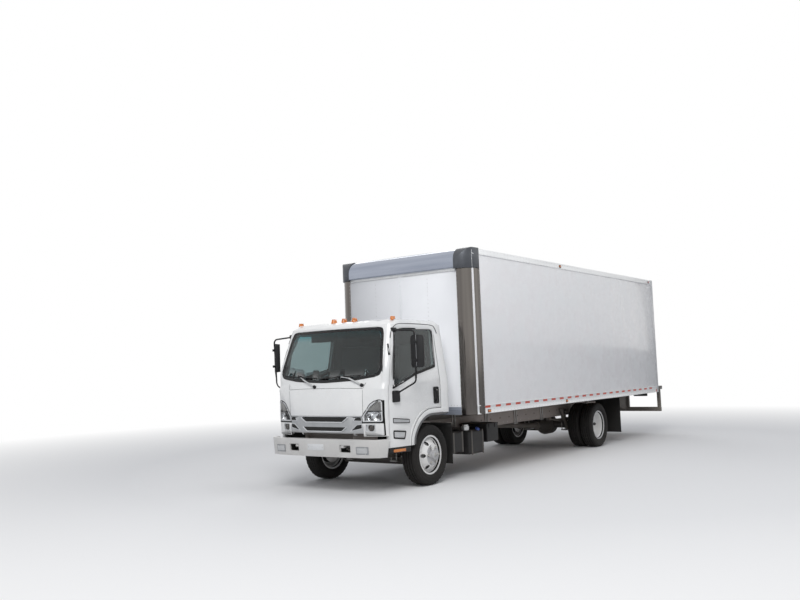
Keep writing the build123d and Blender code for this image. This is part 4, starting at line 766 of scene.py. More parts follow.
def weave_cloth():
    """Seat cloth with a fine woven relief and small paler flecks."""
    material = finish(
        "Seat cloth", "seat_cloth", (0.06, 0.062, 0.068), (0.8, 0.95), (0.08, 0.082, 0.088),
        scale=900, film=(0.06, 1.6), bump=0.4, Sheen_Weight=0.35, Sheen_Roughness=0.5,
    )
    tree = material.node_tree
    shader = tree.nodes["Principled BSDF"]
    place = put(tree, "TexCoord").outputs["Object"]
    last = shader.inputs["Normal"].links[0].from_socket
    for direction in ("X", "Y", "Z"):
        thread = put(tree, "TexWave", {"Vector": place, "Scale": 110.0}, bands_direction=direction)
        relief = put(
            tree, "Bump",
            {"Height": thread.outputs["Fac"], "Strength": 0.3, "Distance": 0.0008, "Normal": last},
        )
        last = relief.outputs[0]
    tree.links.new(last, shader.inputs["Normal"])
    return material


seat_cloth = weave_cloth()
seat_piping = finish(
    "Seat piping", "seat_cloth", (0.045, 0.047, 0.052), (0.7, 0.85), (0.06, 0.062, 0.066),
    scale=900,
    film=(0.05, 2), bump=0.4, Sheen_Weight=0.2,
)


# Outlines, and pieces laid on a CAD surface
LOOKS = {
    "front": (lambda a, b: Vector((6.0, a, b)), Vector((-1, 0, 0))),
    "left": (lambda a, b: Vector((a, 3.0, b)), Vector((0, -1, 0))),
    "right": (lambda a, b: Vector((a, -3.0, b)), Vector((0, 1, 0))),
}


skins = {}


def neighbours(corners):
    """Each corner of an outline, between the one before it and the one after it."""
    return zip(corners[-1:] + corners[:-1], corners, corners[1:] + corners[:1])


def rounded(corners, cut, steps=4):
    """An outline's corners drawn as small arcs."""
    points = []
    for before, corner, after in neighbours(corners):
        corner = Vector(corner)
        start = corner + (Vector(before) - corner).normalized() * cut
        end = corner + (Vector(after) - corner).normalized() * cut
        for step in range(steps + 1):
            part = step / steps
            points.append(start * (1 - part) ** 2 + corner * 2 * part * (1 - part) + end * part**2)
    return points


def grown(corners, distance):
    """An outline moved outwards by a distance."""
    flat = [Vector(corner) for corner in corners]
    area = sum(a.x * b.y - b.x * a.y for a, b in zip(flat, flat[1:] + flat[:1]))
    turn = 1 if area > 0 else -1
    moved = []
    for before, corner, after in neighbours(flat):
        first = (corner - before).normalized()
        second = (after - corner).normalized()
        first = Vector((first.y, -first.x)) * turn
        second = Vector((second.y, -second.x)) * turn
        moved.append(corner + (first + second) / (1 + first.dot(second)) * distance)
    return moved


def outline_pair(corners, cut, width, longest=0.15):
    """An outline and the one this much outside it, point for point."""
    inner = rounded(corners, cut)
    outer = rounded(grown(corners, width), cut + 0.4 * width)
    near, far = [], []
    for index in range(len(inner)):
        after = (index + 1) % len(inner)
        count = max(1, round((inner[after] - inner[index]).length / longest))
        for step in range(count):
            near.append(inner[index].lerp(inner[after], step / count))
            far.append(outer[index].lerp(outer[after], step / count))
    return near, far


def skin_of(name):
    """A CAD node's surface, ready to be looked up."""
    if name not in skins:
        mesh = nodes[name].data
        skins[name] = BVHTree.FromPolygons(
            [vertex.co.copy() for vertex in mesh.vertices],
            [tuple(face.vertices) for face in mesh.polygons],
        )
    return skins[name]


def on_surface(names, look, a, b):
    """The point where a straight look at the truck first meets one of these CAD nodes."""
    start, toward = LOOKS[look][0](a, b), LOOKS[look][1]
    places = []
    for name in names:
        place = skin_of(name).ray_cast(start, toward)[0]
        if place:
            places.append(place)
    if not places:
        near = start + toward * (toward.dot(sum(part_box(names[0]), Vector()) / 2 - start))
        place = skin_of(names[0]).find_nearest(near)[0]
        return start + toward * toward.dot(place - start)
    return min(places, key=lambda place: (place - start).length)


def laid_plate(names, look, outline, lift=0.002, sink=0.002, edge=0.001, flat=False):
    """A plate with this outline that lies on the CAD surface."""
    toward = LOOKS[look][1]
    places = [on_surface(names, look, *point) for point in outline]
    if flat:
        top = min((place.dot(toward) for place in places))
        places = [place + toward * (top - place.dot(toward)) for place in places]
    piece = outline_mesh([place + toward * sink for place in places], "NGON")
    return push_out(piece, -toward * (lift + sink), edge)


def laid_ring(names, look, inner, outer, lift=0.002, sink=0.002, edge=0.001):
    """A frame between two outlines that lies on the CAD surface."""
    toward = LOOKS[look][1]
    lines = [
        outline_mesh([on_surface(names, look, *p) + toward * sink for p in outline], "NOTHING")
        for outline in (outer, inner)
    ]
    piece = join(lines)
    with editing(piece):
        bpy.ops.mesh.bridge_edge_loops()
    return push_out(piece, -toward * (lift + sink), edge)


def laid_frame(names, look, outline, cut, width, longest=0.15, **depths):
    """A frame of this width round an outline, laid on the CAD surface."""
    inner, outer = outline_pair(outline, cut, width, longest)
    return laid_ring(names, look, inner, outer, **depths)


def push_out(piece, push, edge):
    """Gives a sheet its thickness and rounds its edges."""
    with editing(piece):
        bpy.ops.mesh.extrude_region_move(TRANSFORM_OT_translate={"value": push})
    return round_edges(turn_outward(piece), edge)


def rectangle(low_a, low_b, high_a, high_b):
    """A rectangle's four corners."""
    return [(low_a, low_b), (high_a, low_b), (high_a, high_b), (low_a, high_b)]


def to_side(side, points):
    """An outline seen from the front, on this side of the truck."""
    return [Vector((side * y, z)) for y, z in points]


def repaint(piece, material, is_there):
    """Gives a second finish to the faces that a test picks by centre and direction."""
    piece.data.materials.append(material)
    index = len(piece.data.materials) - 1
    for face in piece.data.polygons:
        if is_there(face.center, face.normal):
            face.material_index = index


# Cab: shell, doors, glass
def faces_cabin(centre, normal):
    """Whether a wall face looks into the cab."""
    middle = Vector((centre.x, 0, 1.55))
    if abs(centre.x - 3.9) > 0.42:
        middle.x = 3.9
    return (middle - centre).dot(normal) > 0 and (centre - middle).length > 0.2


cab_shell = dressed("cab_shell", "Cab shell", cab_paint, 0.0025, angle=32)
repaint(cab_shell, trim_grey, faces_cabin)
for side, word in SIDES:
    door = dressed(f"door_{word}", f"Door {word}", cab_paint, 0.0025, angle=32)
    repaint(door, trim_grey, lambda centre, normal: normal.y * centre.y < -0.05)
    dressed(f"door_glass_{word}", f"Door glass {word}", cab_glazing, flat=0.02)
windshield = dressed("cab_glass", "Windshield and rear window", windshield_glazing, flat=0.02)
repaint(windshield, cab_glazing, lambda centre, normal: centre.x < 4.0)

SHIELD = [
    (-0.898, 1.5), (-0.5, 1.447), (0.0, 1.424), (0.5, 1.447), (0.898, 1.5), (0.806, 2.128),
    (0.0, 2.128), (-0.806, 2.128),
]
FRONT_SKIN = ("cab_shell", "cab_glass", "grille", "headlamps")


def frame_windshield():
    """The printed black border, and the rubber round it."""
    border = laid_frame(
        FRONT_SKIN, "front", grown(SHIELD, -0.03), 0.095, 0.026, 0.12, lift=0.0015, sink=0.001,
        edge=0
    )
    settle(border, "Windshield black border", gloss_black, "cab")
    seal = laid_frame(
        FRONT_SKIN, "front", grown(SHIELD, -0.004), 0.1, 0.011, 0.12, lift=0.004, sink=0.004,
        edge=0.002
    )
    settle(seal, "Windshield rubber", rubber, "cab")


frame_windshield()

WINDOW = [
    (4.527, 1.345), (4.379, 2.01), (4.355, 2.048), (3.595, 2.064), (3.565, 2.02), (3.565, 1.6),
    (4.037, 1.505),
]
BELT = [
    (3.56, 1.58), (4.04, 1.485), (4.536, 1.322), (4.532, 1.35), (4.044, 1.512), (3.566, 1.606),
]
GUTTER = [
    (3.4, 2.05), (3.43, 2.135), (3.5, 2.172), (4.22, 2.176), (4.355, 2.15), (4.43, 2.06),
    (4.455, 1.98),
]
CHANNEL = [(3.9, 2.108), (4.0, 2.11), (4.3, 2.104), (4.4, 2.055)]
BADGE = [(4.555, 0.893), (4.555, 0.939), (4.224, 0.908), (4.224, 0.876)]
REPEATER = [(4.56, 0.69), (4.56, 0.79), (4.3, 0.768), (4.33, 0.668)]


def dress_window(side, word):
    """The black frame round a door window, its belt strip, and the gutter above."""
    body = f"door_{word}"
    names = (body, f"door_glass_{word}", "cab_shell")
    surround = laid_frame(
        names, word, grown(WINDOW, -0.012), 0.02, 0.034, 0.2, lift=0.003, sink=0.003, edge=0.0012
    )
    settle(surround, f"Door window surround {word}", black_plastic, body)
    belt = laid_plate(names, word, BELT, lift=0.008, sink=0.002, edge=0.002)
    settle(belt, f"Window belt seal {word}", rubber, body)
    for name, line, out, radius, material, carrier in (
        ("Roof gutter", GUTTER, 0.002, 0.0055, gloss_black, "cab"),
        ("Drip channel", CHANNEL, 0.003, 0.008, rubber, body),
    ):
        spots = [on_surface(("cab_shell", body), word, *spot) for spot in line]
        tube = pipe([spot + Vector((0, side * out, 0)) for spot in spots], radius, sides=2)
        settle(tube, f"{name} {word}", material, carrier)


on_both_sides(dress_window)


def dress_door(side, word):
    """A door's handle and lock, its bare badge strip, and its side repeater."""
    body = f"door_{word}"
    names = (body,)
    mouth = rectangle(3.534, 1.098, 3.632, 1.3)
    rim = laid_frame(names, word, mouth, 0.022, 0.014, lift=0.007, sink=0.002, edge=0.003)
    cup = laid_plate(names, word, rounded(grown(mouth, 0.002), 0.022), 0.0015, 0.002, 0)
    settle(join([rim, cup]), f"Door handle cup {word}", black_plastic, body)
    reach = 1.004 * side
    line = ((0, 1.285), (0.03, 1.262), (0.034, 1.2), (0.03, 1.136), (0, 1.114))
    grip = pipe([(3.6, reach + side * out, z) for out, z in line], 0.011, order=4, smoothness=6)
    settle(grip, f"Door handle grip {word}", gloss_black, body)
    lock = rod((3.56, reach, 1.268), (3.56, reach + side * 0.005, 1.268), 0.011)
    settle(lock, f"Door lock {word}", bolt_steel, body)
    rim = laid_frame(names, word, BADGE, 0.006, 0.01, lift=0.004, sink=0.002, edge=0.0015)
    settle(rim, f"Badge strip frame {word}", gloss_black, body)
    blank = laid_plate(names, word, rounded(BADGE, 0.006), 0.002, 0.002, 0)
    settle(blank, f"Blank badge strip {word}", grille_silver, body)
    hole = grown(REPEATER, -0.016)
    rim = laid_frame(names, word, hole, 0.014, 0.02, lift=0.007, sink=0.002, edge=0.003)
    settle(rim, f"Side repeater frame {word}", black_plastic, body)
    glow = laid_plate(names, word, rounded(grown(REPEATER, -0.014), 0.014), 0.005, 0.002, 0.002)
    settle(glow, f"Side repeater lens {word}", white_lens, body)


on_both_sides(dress_door)


def lay_shut_line(points, name):
    """A thin black line drawn where two panels of the cab's front meet: painted shade of the gap.
    """
    run = []
    for start, end in zip(points, points[1:]):
        count = max(2, int((Vector(end) - Vector(start)).length / 0.07))
        run += [Vector(start).lerp(Vector(end), step / count) for step in range(count)]
    run.append(Vector(points[-1]))
    places = [on_surface(("cab_shell",), "front", *spot) for spot in run]
    settle(pipe(places, 0.0025, order=2, sides=1, smoothness=2), name, rubber, "cab")


for side, word in SIDES[::-1]:
    lay_shut_line(
        to_side(side, [(0.69, 1.41), (0.665, 1.325), (0.66, 0.995)]), f"Front lid gap {word}"
    )
lay_shut_line([(-0.665, 1.338), (-0.3, 1.348), (0.3, 1.348), (0.665, 1.338)], "Front lid gap top")


def dress_pillars(side, word):
    """The small black vent on a windshield pillar."""
    points = to_side(side, [(0.933, 1.755), (0.95, 1.755), (0.911, 1.905), (0.894, 1.905)])
    vent = laid_plate(FRONT_SKIN, "front", rounded(points, 0.006), 0.004, 0.004, 0.001)
    settle(vent, f"Pillar vent {word}", black_plastic, "cab")


on_both_sides(dress_pillars)


# Wipers
def make_wiper(word, pivot_y, pivot_z, elbow, blade):
    """One wiper: its cap, its two-part arm, and its blade with a rubber lip."""
    foot = on_surface(("cab_shell",), "front", pivot_y, pivot_z)
    out = Vector((0.9, 0.0, 0.42))
    cap = rod(foot - out * 0.01, foot + out * 0.03, 0.024, edge=0.004, end_radius=0.02)
    nut = rod(foot + out * 0.028, foot + out * 0.04, 0.011, edge=0.002, sides=6)
    settle(join([cap, nut]), f"Wiper pivot {word}", black_plastic, "cab")
    start = foot + out * 0.024
    bend = on_surface(FRONT_SKIN, "front", *elbow) + out * 0.03
    ends = [on_surface(FRONT_SKIN, "front", *spot) + out * 0.016 for spot in blade]
    middle = (ends[0] + ends[1]) / 2
    arm = pipe([start, start.lerp(bend, 0.5), bend], 0.011, order=2, sides=2, smoothness=2)
    tip = pipe([bend, bend.lerp(middle, 0.6) + out * 0.012, middle + out * 0.01], 0.006, sides=2)
    settle(join([arm, tip]), f"Wiper arm {word}", wiper_steel, "cab")
    spots = [
        on_surface(FRONT_SKIN, "front", *Vector(blade[0]).lerp(Vector(blade[1]), step / 8))
        for step in range(9)
    ]
    spine = pipe([spot + out * 0.015 for spot in spots], 0.008, sides=2)
    lip = pipe([spot + out * 0.005 for spot in spots], 0.004, sides=1)
    half = Vector((0.012, 0.03, 0.012))
    clip = block(middle + out * 0.015 - half, middle + out * 0.015 + half, 0.004)
    settle(join([spine, lip, clip]), f"Wiper blade {word}", black_plastic, "cab")


make_wiper("left", 0.648, 1.377, (0.43, 1.462), ((-0.1, 1.47), (0.6, 1.5)))
make_wiper("right", -0.145, 1.366, (-0.37, 1.455), ((-0.8, 1.52), (-0.14, 1.478)))


# Grille: silver panel, mesh behind its slots, black vents
dressed("grille", "Grille panel", grille_silver, 0.003)
SLOTS = (((0.402, 0.966), (0.315, 0.912)), ((0.372, 0.842), (0.3, 0.792)))


def laid_strip(names, top, bottom, steps, lift, sink, edge=0.0):
    """A band that follows the cab's bowed front between an upper and a lower line."""
    let_go()
    bpy.ops.mesh.primitive_grid_add(x_subdivisions=steps, y_subdivisions=1, size=2)
    piece = bpy.context.object
    toward = LOOKS["front"][1]
    for vertex in piece.data.vertices:
        half, height = top if vertex.co.y > 0 else bottom
        place = skin_line(names, vertex.co.x * half, height)
        vertex.co = place + toward * sink
    return push_out(piece, -toward * (lift + sink), edge)


def skin_line(names, y, z):
    """A point on the grille's outer face, also where a slot opens in it."""
    edge_high = on_surface(names, "front", y, 0.986)
    edge_low = on_surface(names, "front", y, 0.87)
    return edge_high.lerp(edge_low, (0.986 - z) / 0.116)


def fill_grille():
    """Woven mesh behind the slots, and black sheets across the slots as painted shade."""
    wires = []
    for low, high in ((0.895, 0.985), (0.775, 0.85)):
        row = rod((4.728, -0.42, low), (4.728, -0.42, high), 0.0022, edge=0, sides=6)
        wires.append(repeat_along(row, (0, 0.014, 0), 61))
        across = rod((4.731, -0.42, low), (4.731, 0.42, low), 0.0022, edge=0, sides=6)
        wires.append(repeat_along(across, (0, 0, 0.014), int((high - low) / 0.014) + 1))
    settle(join(wires), "Grille mesh", mesh_dark, "cab")
    # Painted shade: black sheets across the slot mouths stand for the dark insides of the openings.
    slot_shade_sheets = [laid_strip(("grille",), top, bottom, 24, 0.002, 0.001) for top, bottom in SLOTS]
    settle(join(slot_shade_sheets), "Grille slot grounds", rubber, "cab")


fill_grille()


# Bumper, steps, mirrors, roof lamps
dressed("front_bumper", "Front bumper", bumper_paint_with_painted_shade, 0.004)
dressed("cab_steps", "Cab steps", black_plastic, 0.004)
dressed("roof_lamps", "Roof marker lamps", amber_lens, 0.002)
for side, word in SIDES:
    mirror = dressed(f"mirror_{word}", f"Mirror {word}", black_plastic, 0.003)
    # The left mirror's head hangs a little behind its tube
    for vertex in mirror.data.vertices if side > 0 else ():
        from_tube = Vector((vertex.co.x - 4.399, vertex.co.y - MIRROR_Y)).length
        if abs(vertex.co.z - MIRROR_Z) < 0.214 and from_tube > 0.016:
            vertex.co.x -= 0.04
dressed("dashboard", "Dashboard", trim_grey, 0.01, segments=3)
dressed("steering_wheel", "Steering wheel", black_plastic, 0.002)
dressed("seats", "Seats", seat_cloth, 0.03, segments=3)


def inset_faces(piece, is_there, width, depth, material):
    """Insets the faces that a test picks, sinks or raises them, and gives them a finish."""
    piece.data.materials.append(material)
    hold(piece)
    bpy.ops.object.mode_set(mode="EDIT")
    bpy.ops.mesh.select_mode(type="FACE")
    bpy.ops.mesh.select_all(action="DESELECT")
    bpy.ops.object.mode_set(mode="OBJECT")
    for face in piece.data.polygons:
        face.select = is_there(face.center, face.normal)
    bpy.ops.object.mode_set(mode="EDIT")
    bpy.ops.mesh.inset(thickness=width, depth=depth)
    piece.active_material_index = len(piece.data.materials) - 1
    bpy.ops.object.material_slot_assign()
    bpy.ops.object.mode_set(mode="OBJECT")


# Headlamps: a housing behind a clear cover, with a white pod below
FORWARD = (1, 0, 0)
LAMP_WHOLE = (
    (0.676, 0.739), (0.676, 1.008), (0.704, 1.062), (0.78, 1.13), (0.882, 1.181), (0.968, 1.181),
    (0.968, 0.739),
)
LAMP_UPPER = (
    (0.64, 0.902), (0.64, 0.986), (0.677, 1.03), (0.734, 1.1), (0.776, 1.145), (0.84, 1.18),
    (0.922, 1.196), (0.972, 1.186), (0.972, 0.902),
)
LAMP_TURN = (
    (0.708, 1.046), (0.724, 1.07), (0.786, 1.124), (0.88, 1.17), (0.955, 1.17), (0.955, 1.046),
)
LAMP_PANE = ((0.687, 0.905), (0.687, 1.005), (0.706, 1.04), (0.957, 1.04), (0.957, 0.905))


def dress_headlamp(side, word):
    """One lamp unit, from its back wall to its cover and its pod; gives the lamp's seal."""
    names = ("headlamps",)
    around = ("headlamps", "grille", "cab_shell")

    def plate(skin, points, cut, lift, sink, edge):
        outline = to_side(side, points)
        return laid_plate(
            skin, "front", rounded(outline, cut) if cut else outline, lift, sink, edge
        )

    def finished(piece, name, material):
        return settle(piece, f"{name} {word}", material, "cab")

    finished(plate(names, LAMP_WHOLE, 0.01, -0.04, 0.047, 0), "Lamp back wall", black_plastic)
    upper = to_side(side, LAMP_UPPER)
    depths = {"lift": 0.0025, "sink": 0.004, "edge": 0.001}
    seal = laid_frame(around, "front", grown(upper, -0.01), 0.014, 0.01, 0.08, **depths)
    finished(seal, "Lamp seal", gloss_black)
    depths = {"lift": 0.004, "sink": 0.004, "edge": 0.002}
    rim = laid_frame(around, "front", grown(upper, -0.026), 0.014, 0.015, 0.08, **depths)
    finished(rim, "Lamp rim", pale_trim)
    strip = ((0.95, 0.904), (0.95, 1.176), (0.97, 1.176), (0.97, 0.904))
    finished(plate(around, strip, 0, 0.005, 0.002, 0.001), "Lamp outer edge", gloss_black)
    finished(plate(names, LAMP_TURN, 0.01, -0.01, 0.024, 0.002), "Turn lamp", turn_fill)
    covers = [
        plate(names, points, 0.01, 0.0012, 0.002, 0.0008) for points in (LAMP_TURN, LAMP_PANE)
    ]
    finished(join(covers), "Lamp cover", lamp_glazing)
    bar = ((0.676, 1.034), (0.957, 1.042), (0.957, 1.054), (0.69, 1.047))
    foot = ((0.64, 0.893), (0.97, 0.893), (0.97, 0.908), (0.64, 0.908))
    bars = [plate(around, points, 0, 0.0055, 0.004, 0.001) for points in (bar, foot)]
    finished(join(bars), "Lamp dividers", black_plastic)
    bowls = []
    for y, z, radius in ((0.742, 0.968, 0.046), (0.862, 0.972, 0.06)):
        spot = on_surface(names, "front", side * y, z)
        centre = (spot.x - 0.044, spot.y, z)
        profile = [
            (radius, 0.034), (radius * 0.86, 0.018), (radius * 0.5, 0.006), (0.0, 0.002),
            (0.0, 0.0),
            (radius * 0.55, 0.003), (radius * 0.95, 0.015), (radius * 1.06, 0.034),
        ]
        bowls.append(turned(profile, centre, FORWARD))
        bulb = [
            (0.0, 0.0), (radius * 0.36, 0.0), (radius * 0.36, 0.012), (radius * 0.25, 0.024),
            (0.0, 0.029),
        ]
        bulb = turned(bulb, centre, FORWARD, steps=24)
        settle(bulb, f"Lamp projector {word} {int(y * 1000)}", dark_lens, "cab")
    ground = ((0.692, 0.912), (0.692, 1.002), (0.712, 1.034), (0.952, 1.034), (0.952, 0.912))
    bowls.append(plate(names, ground, 0.008, -0.036, 0.04, 0.001))
    finished(join(bowls), "Lamp reflector", chrome)
    pod = to_side(side, [(0.642, 0.741), (0.642, 0.892), (0.966, 0.892), (0.966, 0.741)])
    window = to_side(side, [(0.69, 0.782), (0.69, 0.884), (0.85, 0.884), (0.85, 0.782)])
    far = outline_pair(pod, 0.01, 0.0001, longest=9)[0]
    near = outline_pair(window, 0.016, 0.0001, longest=9)[0]
    pod = laid_ring(around, "front", near, far, lift=0.005, sink=0.01, edge=0.002)
    finished(pod, "Lamp pod", cab_paint)
    depths = {"lift": 0.0055, "sink": 0.02, "edge": 0.0015}
    rim = laid_frame(names, "front", grown(window, -0.01), 0.012, 0.012, 9, **depths)
    ground = laid_plate(names, "front", rounded(window, 0.014), lift=-0.016, sink=0.02, edge=0)
    finished(join([rim, ground]), "Pod recess", pale_trim)
    spot = on_surface(names, "front", side * 0.772, 0.836)
    centre = (spot.x - 0.018, spot.y, 0.836)
    ring = [(0.046, 0.0), (0.046, 0.014), (0.04, 0.018), (0.034, 0.014), (0.034, 0.0)]
    finished(turned(ring, centre, FORWARD), "Round lamp ring", dark_lens)
    glow = [(0.0, 0.0), (0.034, 0.0), (0.034, 0.01), (0.022, 0.015), (0.0, 0.017)]
    finished(turned(glow, centre, FORWARD), "Round lamp lens", dark_lens)
    return seal


for side, word in SIDES:
    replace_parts(dress_headlamp(side, word), "headlamps")


# Grille details
def rim_grille():
    """Bars and pale rims in the slots, and black corner vents."""
    names = ("grille",)
    out = Vector((0.006, 0, 0))
    for index, ((high_half, high), (low_half, low)) in enumerate(SLOTS):
        wires = []
        for part in (0.25, 0.5, 0.75):
            half = high_half + (low_half - high_half) * part
            z = high + (low - high) * part
            wires.append(
                laid_strip(names, (half, z + 0.0018), (half, z - 0.0018), 20, 0.006, 0.001)
            )
        settle(join(wires), f"Grille bars {index}", mesh_dark, "cab")
        line = [
            skin_line(names, low_half * 1.02 * (step / 12 - 1), low - 0.006) + out
            for step in range(25)
        ]
        ends = [skin_line(names, side * (high_half + 0.01), high) + out for side in (-1, 1)]
        line = [ends[0], line[0], *line, line[-1], ends[1]]
        rim = pipe(line, 0.0075, order=2, sides=2, smoothness=2)
        settle(rim, f"Grille slot rim {index}", pale_trim, "cab")
    vents = []
    rims = []
    for side in (1, -1):
        for outline in (
            [(0.512, 0.93), (0.54, 0.962), (0.632, 0.962), (0.632, 0.926)],
            [(0.462, 0.8), (0.56, 0.872), (0.634, 0.878), (0.634, 0.832)],
        ):
            outline = to_side(side, outline)
            vents.append(laid_plate(names, "front", rounded(outline, 0.006), 0.003, 0.004, 0.001))
            depths = {"lift": 0.006, "sink": 0.003, "edge": 0.0015}
            rims.append(laid_frame(names, "front", outline, 0.006, 0.007, 0.2, **depths))
    settle(join(vents), "Grille corner vents", rubber, "cab")
    settle(join(rims), "Grille vent rims", pale_trim, "cab")


rim_grille()


# Bumper details
def dress_bumper():
    """Its lamps, its blank plate, and the sleeves and hooks of its towing openings."""
    names = ("front_bumper",)
    for side, word in SIDES:
        outline = to_side(side, rectangle(0.622, 0.512, 0.8, 0.61))
        rim = laid_plate(names, "front", rounded(outline, 0.012), 0.009, 0.006, 0.002)
        settle(rim, f"Bumper lamp frame {word}", frame_grey)
        glow = rounded(grown(outline, -0.016), 0.01)
        settle(
            laid_plate(names, "front", glow, 0.011, 0.001, 0.001), f"Bumper lamp {word}", white_lens
        )
        mouth = grown(to_side(side, rectangle(0.361, 0.534, 0.529, 0.622)), -0.007)
        depths = {"lift": 0.0015, "sink": 0.06, "edge": 0.001}
        sleeve = laid_frame(names, "front", mouth, 0.006, 0.01, 0.2, **depths)
        settle(sleeve, f"Towing opening sleeve {word}", rubber)
        line = ((4.7, 0.445), (4.79, 0.43), (4.838, 0.445), (4.79, 0.468), (4.7, 0.452))
        hook = pipe([(x, side * y, 0.578) for x, y in line], 0.011, order=3, sides=3)
        settle(hook, f"Towing hook {word}", cast_iron)
    outline = rounded(rectangle(-0.19, 0.552, 0.09, 0.632), 0.008)
    settle(
        laid_plate(names, "front", outline, 0.003, 0.004, 0.001), "Blank number plate", silver_tape
    )
    bolts = []
    for y in (-0.172, 0.072):
        spot = on_surface(names, "front", y, 0.592)
        bolts.append(rod(spot, spot + Vector((0.006, 0, 0)), 0.006, edge=0.001, sides=6))
    settle(join(bolts), "Plate bolts", bolt_steel)


dress_bumper()


# Cab side details
def arc_through(start, middle, end, steps=10):
    """Points along the arc through three points."""
    (ax, az), (bx, bz), (cx, cz) = start, middle, end
    a, b, c = (x**2 + z**2 for x, z in (start, middle, end))
    d = 2 * (ax * (bz - cz) + bx * (cz - az) + cx * (az - bz))
    centre = Vector((
        (a * (bz - cz) + b * (cz - az) + c * (az - bz)) / d,
        (a * (cx - bx) + b * (ax - cx) + c * (bx - ax)) / d,
    ))
    first = Vector(start) - centre
    turn = first.angle_signed(Vector(end) - centre)
    points = []
    for step in range(steps + 1):
        way = -turn * step / steps
        x = first.x * cos(way) - first.y * sin(way)
        points.append(centre + Vector((x, first.x * sin(way) + first.y * cos(way))))
    return points


def arch_line(spread):
    """The wheel arch's edge seen from the side, this much outside the opening."""
    curve = arc_through(
        (FRONT_AXLE, 0.957 + spread),
        (FRONT_AXLE + 0.262 + 0.72 * spread, 0.85 + 0.72 * spread),
        (FRONT_AXLE + 0.395 + spread, 0.66 + 0.2 * spread),
    )
    foot = Vector((FRONT_AXLE + 0.402 + spread, 0.582))
    return [Vector((3.222, 0.957 + spread)), Vector((3.45, 0.957 + spread)), *curve, foot]


def ribbon(first, second):
    """A strip of faces between two lines of as many points."""
    let_go()
    bpy.ops.mesh.primitive_grid_add(x_subdivisions=len(first) - 1, y_subdivisions=1, size=2)
    piece = bpy.context.object
    last = len(first) - 1
    for vertex in piece.data.vertices:
        row = second if vertex.co.y > 0 else first
        vertex.co = row[round((vertex.co.x + 1) / 2 * last)]
    return piece


def dress_arch(side, word):
    """The grey lip round a front wheel arch, and the raised flare above it."""
    names = (f"door_{word}", "cab_shell")
    far = [on_surface(names, word, *p) for p in arch_line(0.006)]
    near = [spot.copy() for spot in far]
    for spot, (x, z) in zip(near, arch_line(-0.024)):
        spot.x, spot.z = x, z
    lip = push_out(ribbon(near, far), (0, side * 0.012, 0), 0.003)
    hold(lip)
    bpy.ops.transform.translate(value=(0, side * -0.005, 0))
    fix_place(lip)
    settle(lip, f"Wheel arch lip {word}", trim_grey, "cab")
    ridge = [on_surface(names, word, *p) - Vector((0, side * 0.002, 0)) for p in arch_line(0.098)]
    crease = pipe(ridge, 0.007, order=3, sides=2, smoothness=3)
    settle(crease, f"Arch flare {word}", cab_paint, f"door_{word}")


on_both_sides(dress_arch)


def dress_step(side, word):
    """The amber lamp in a cab step, and the studs of its tread."""
    glow = block((4.3, side * 0.993, 0.512), (4.56, side * 0.987, 0.548), 0.002)
    settle(glow, f"Step lamp {word}", amber_lens, "cab")
    tread = rod((4.215, side * 0.82, 0.567), (4.215, side * 0.82, 0.571), 0.006, edge=0, sides=8)
    tread = repeat_along(tread, (0.03, 0, 0), 14)
    tread = repeat_along(tread, (0, side * 0.03, 0), 6)
    settle(tread, f"Step studs {word}", black_plastic, "cab")


on_both_sides(dress_step)


def face_mirror(side, word):
    """A mirror's glass, facing back, and its clamps."""
    piece = bpy.data.objects[f"Mirror_{word}"]

    def faces_back(c, n):
        return n.x < -0.55 and abs(c.z - MIRROR_Z) < 0.05 and abs(abs(c.y) - MIRROR_Y) < 0.12

    inset_faces(piece, faces_back, 0.012, -0.003, mirror_face)
    y = side * MIRROR_Y
    clamps = [
        block((4.38, y - 0.02, z), (4.424, y + 0.02, z + 0.034), 0.004) for z in (1.655, 1.89)
    ]
    settle(join(clamps), f"Mirror clamps {word}", black_plastic, piece["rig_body"])


on_both_sides(face_mirror)


# Tyres: one is made at the left front, and the others are its copies
def make_tyre():
    """A road tyre: ribs between grooves, notched shoulders, and bare walls with rings."""
    half = [
        (0.232, 0.08), (0.262, 0.0835), (0.266, 0.095), (0.274, 0.1), (0.283, 0.101),
        (0.286, 0.104), (0.3, 0.1085), (0.303, 0.111), (0.306, 0.1095), (0.326, 0.1124),
        (0.345, 0.1122), (0.349, 0.113), (0.352, 0.111), (0.368, 0.1085), (0.38, 0.106),
        (0.388, 0.103), (0.396, 0.0965), (0.4015, 0.088), (0.4028, 0.0655), (0.39, 0.064),
        (0.39, 0.056), (0.404, 0.0545), (0.4044, 0.026), (0.3905, 0.0245), (0.3905, 0.0165),
        (0.4048, 0.015),
    ]
    profile = half + [(radius, -along) for radius, along in half[::-1]]
    steps = 120
    tyre = spun(profile, (FRONT_AXLE, FRONT_WHEEL_Y, HUB_HEIGHT), (0, 1, 0), steps)
    centre = Vector((FRONT_AXLE, FRONT_WHEEL_Y, HUB_HEIGHT))
    for vertex in tyre.data.vertices:
        offset = vertex.co - centre
        radius = Vector((offset.x, offset.z)).length
        turn = Vector((offset.x, offset.z)).angle_signed(Vector((1, 0)), 0.0)
        index = round(turn / (2 * pi) * steps)
        if index % 3 == 0 and abs(offset.y) > 0.084 and radius > 0.3845:
            shrink = (radius - 0.007) / radius
        elif index % 3 == 1 and abs(abs(offset.y) - 0.04) < 0.0165 and radius > 0.4:
            shrink = 0.994
        else:
            continue
        vertex.co.x = centre.x + offset.x * shrink
        vertex.co.z = centre.z + offset.z * shrink
    return smooth(tyre, 32)


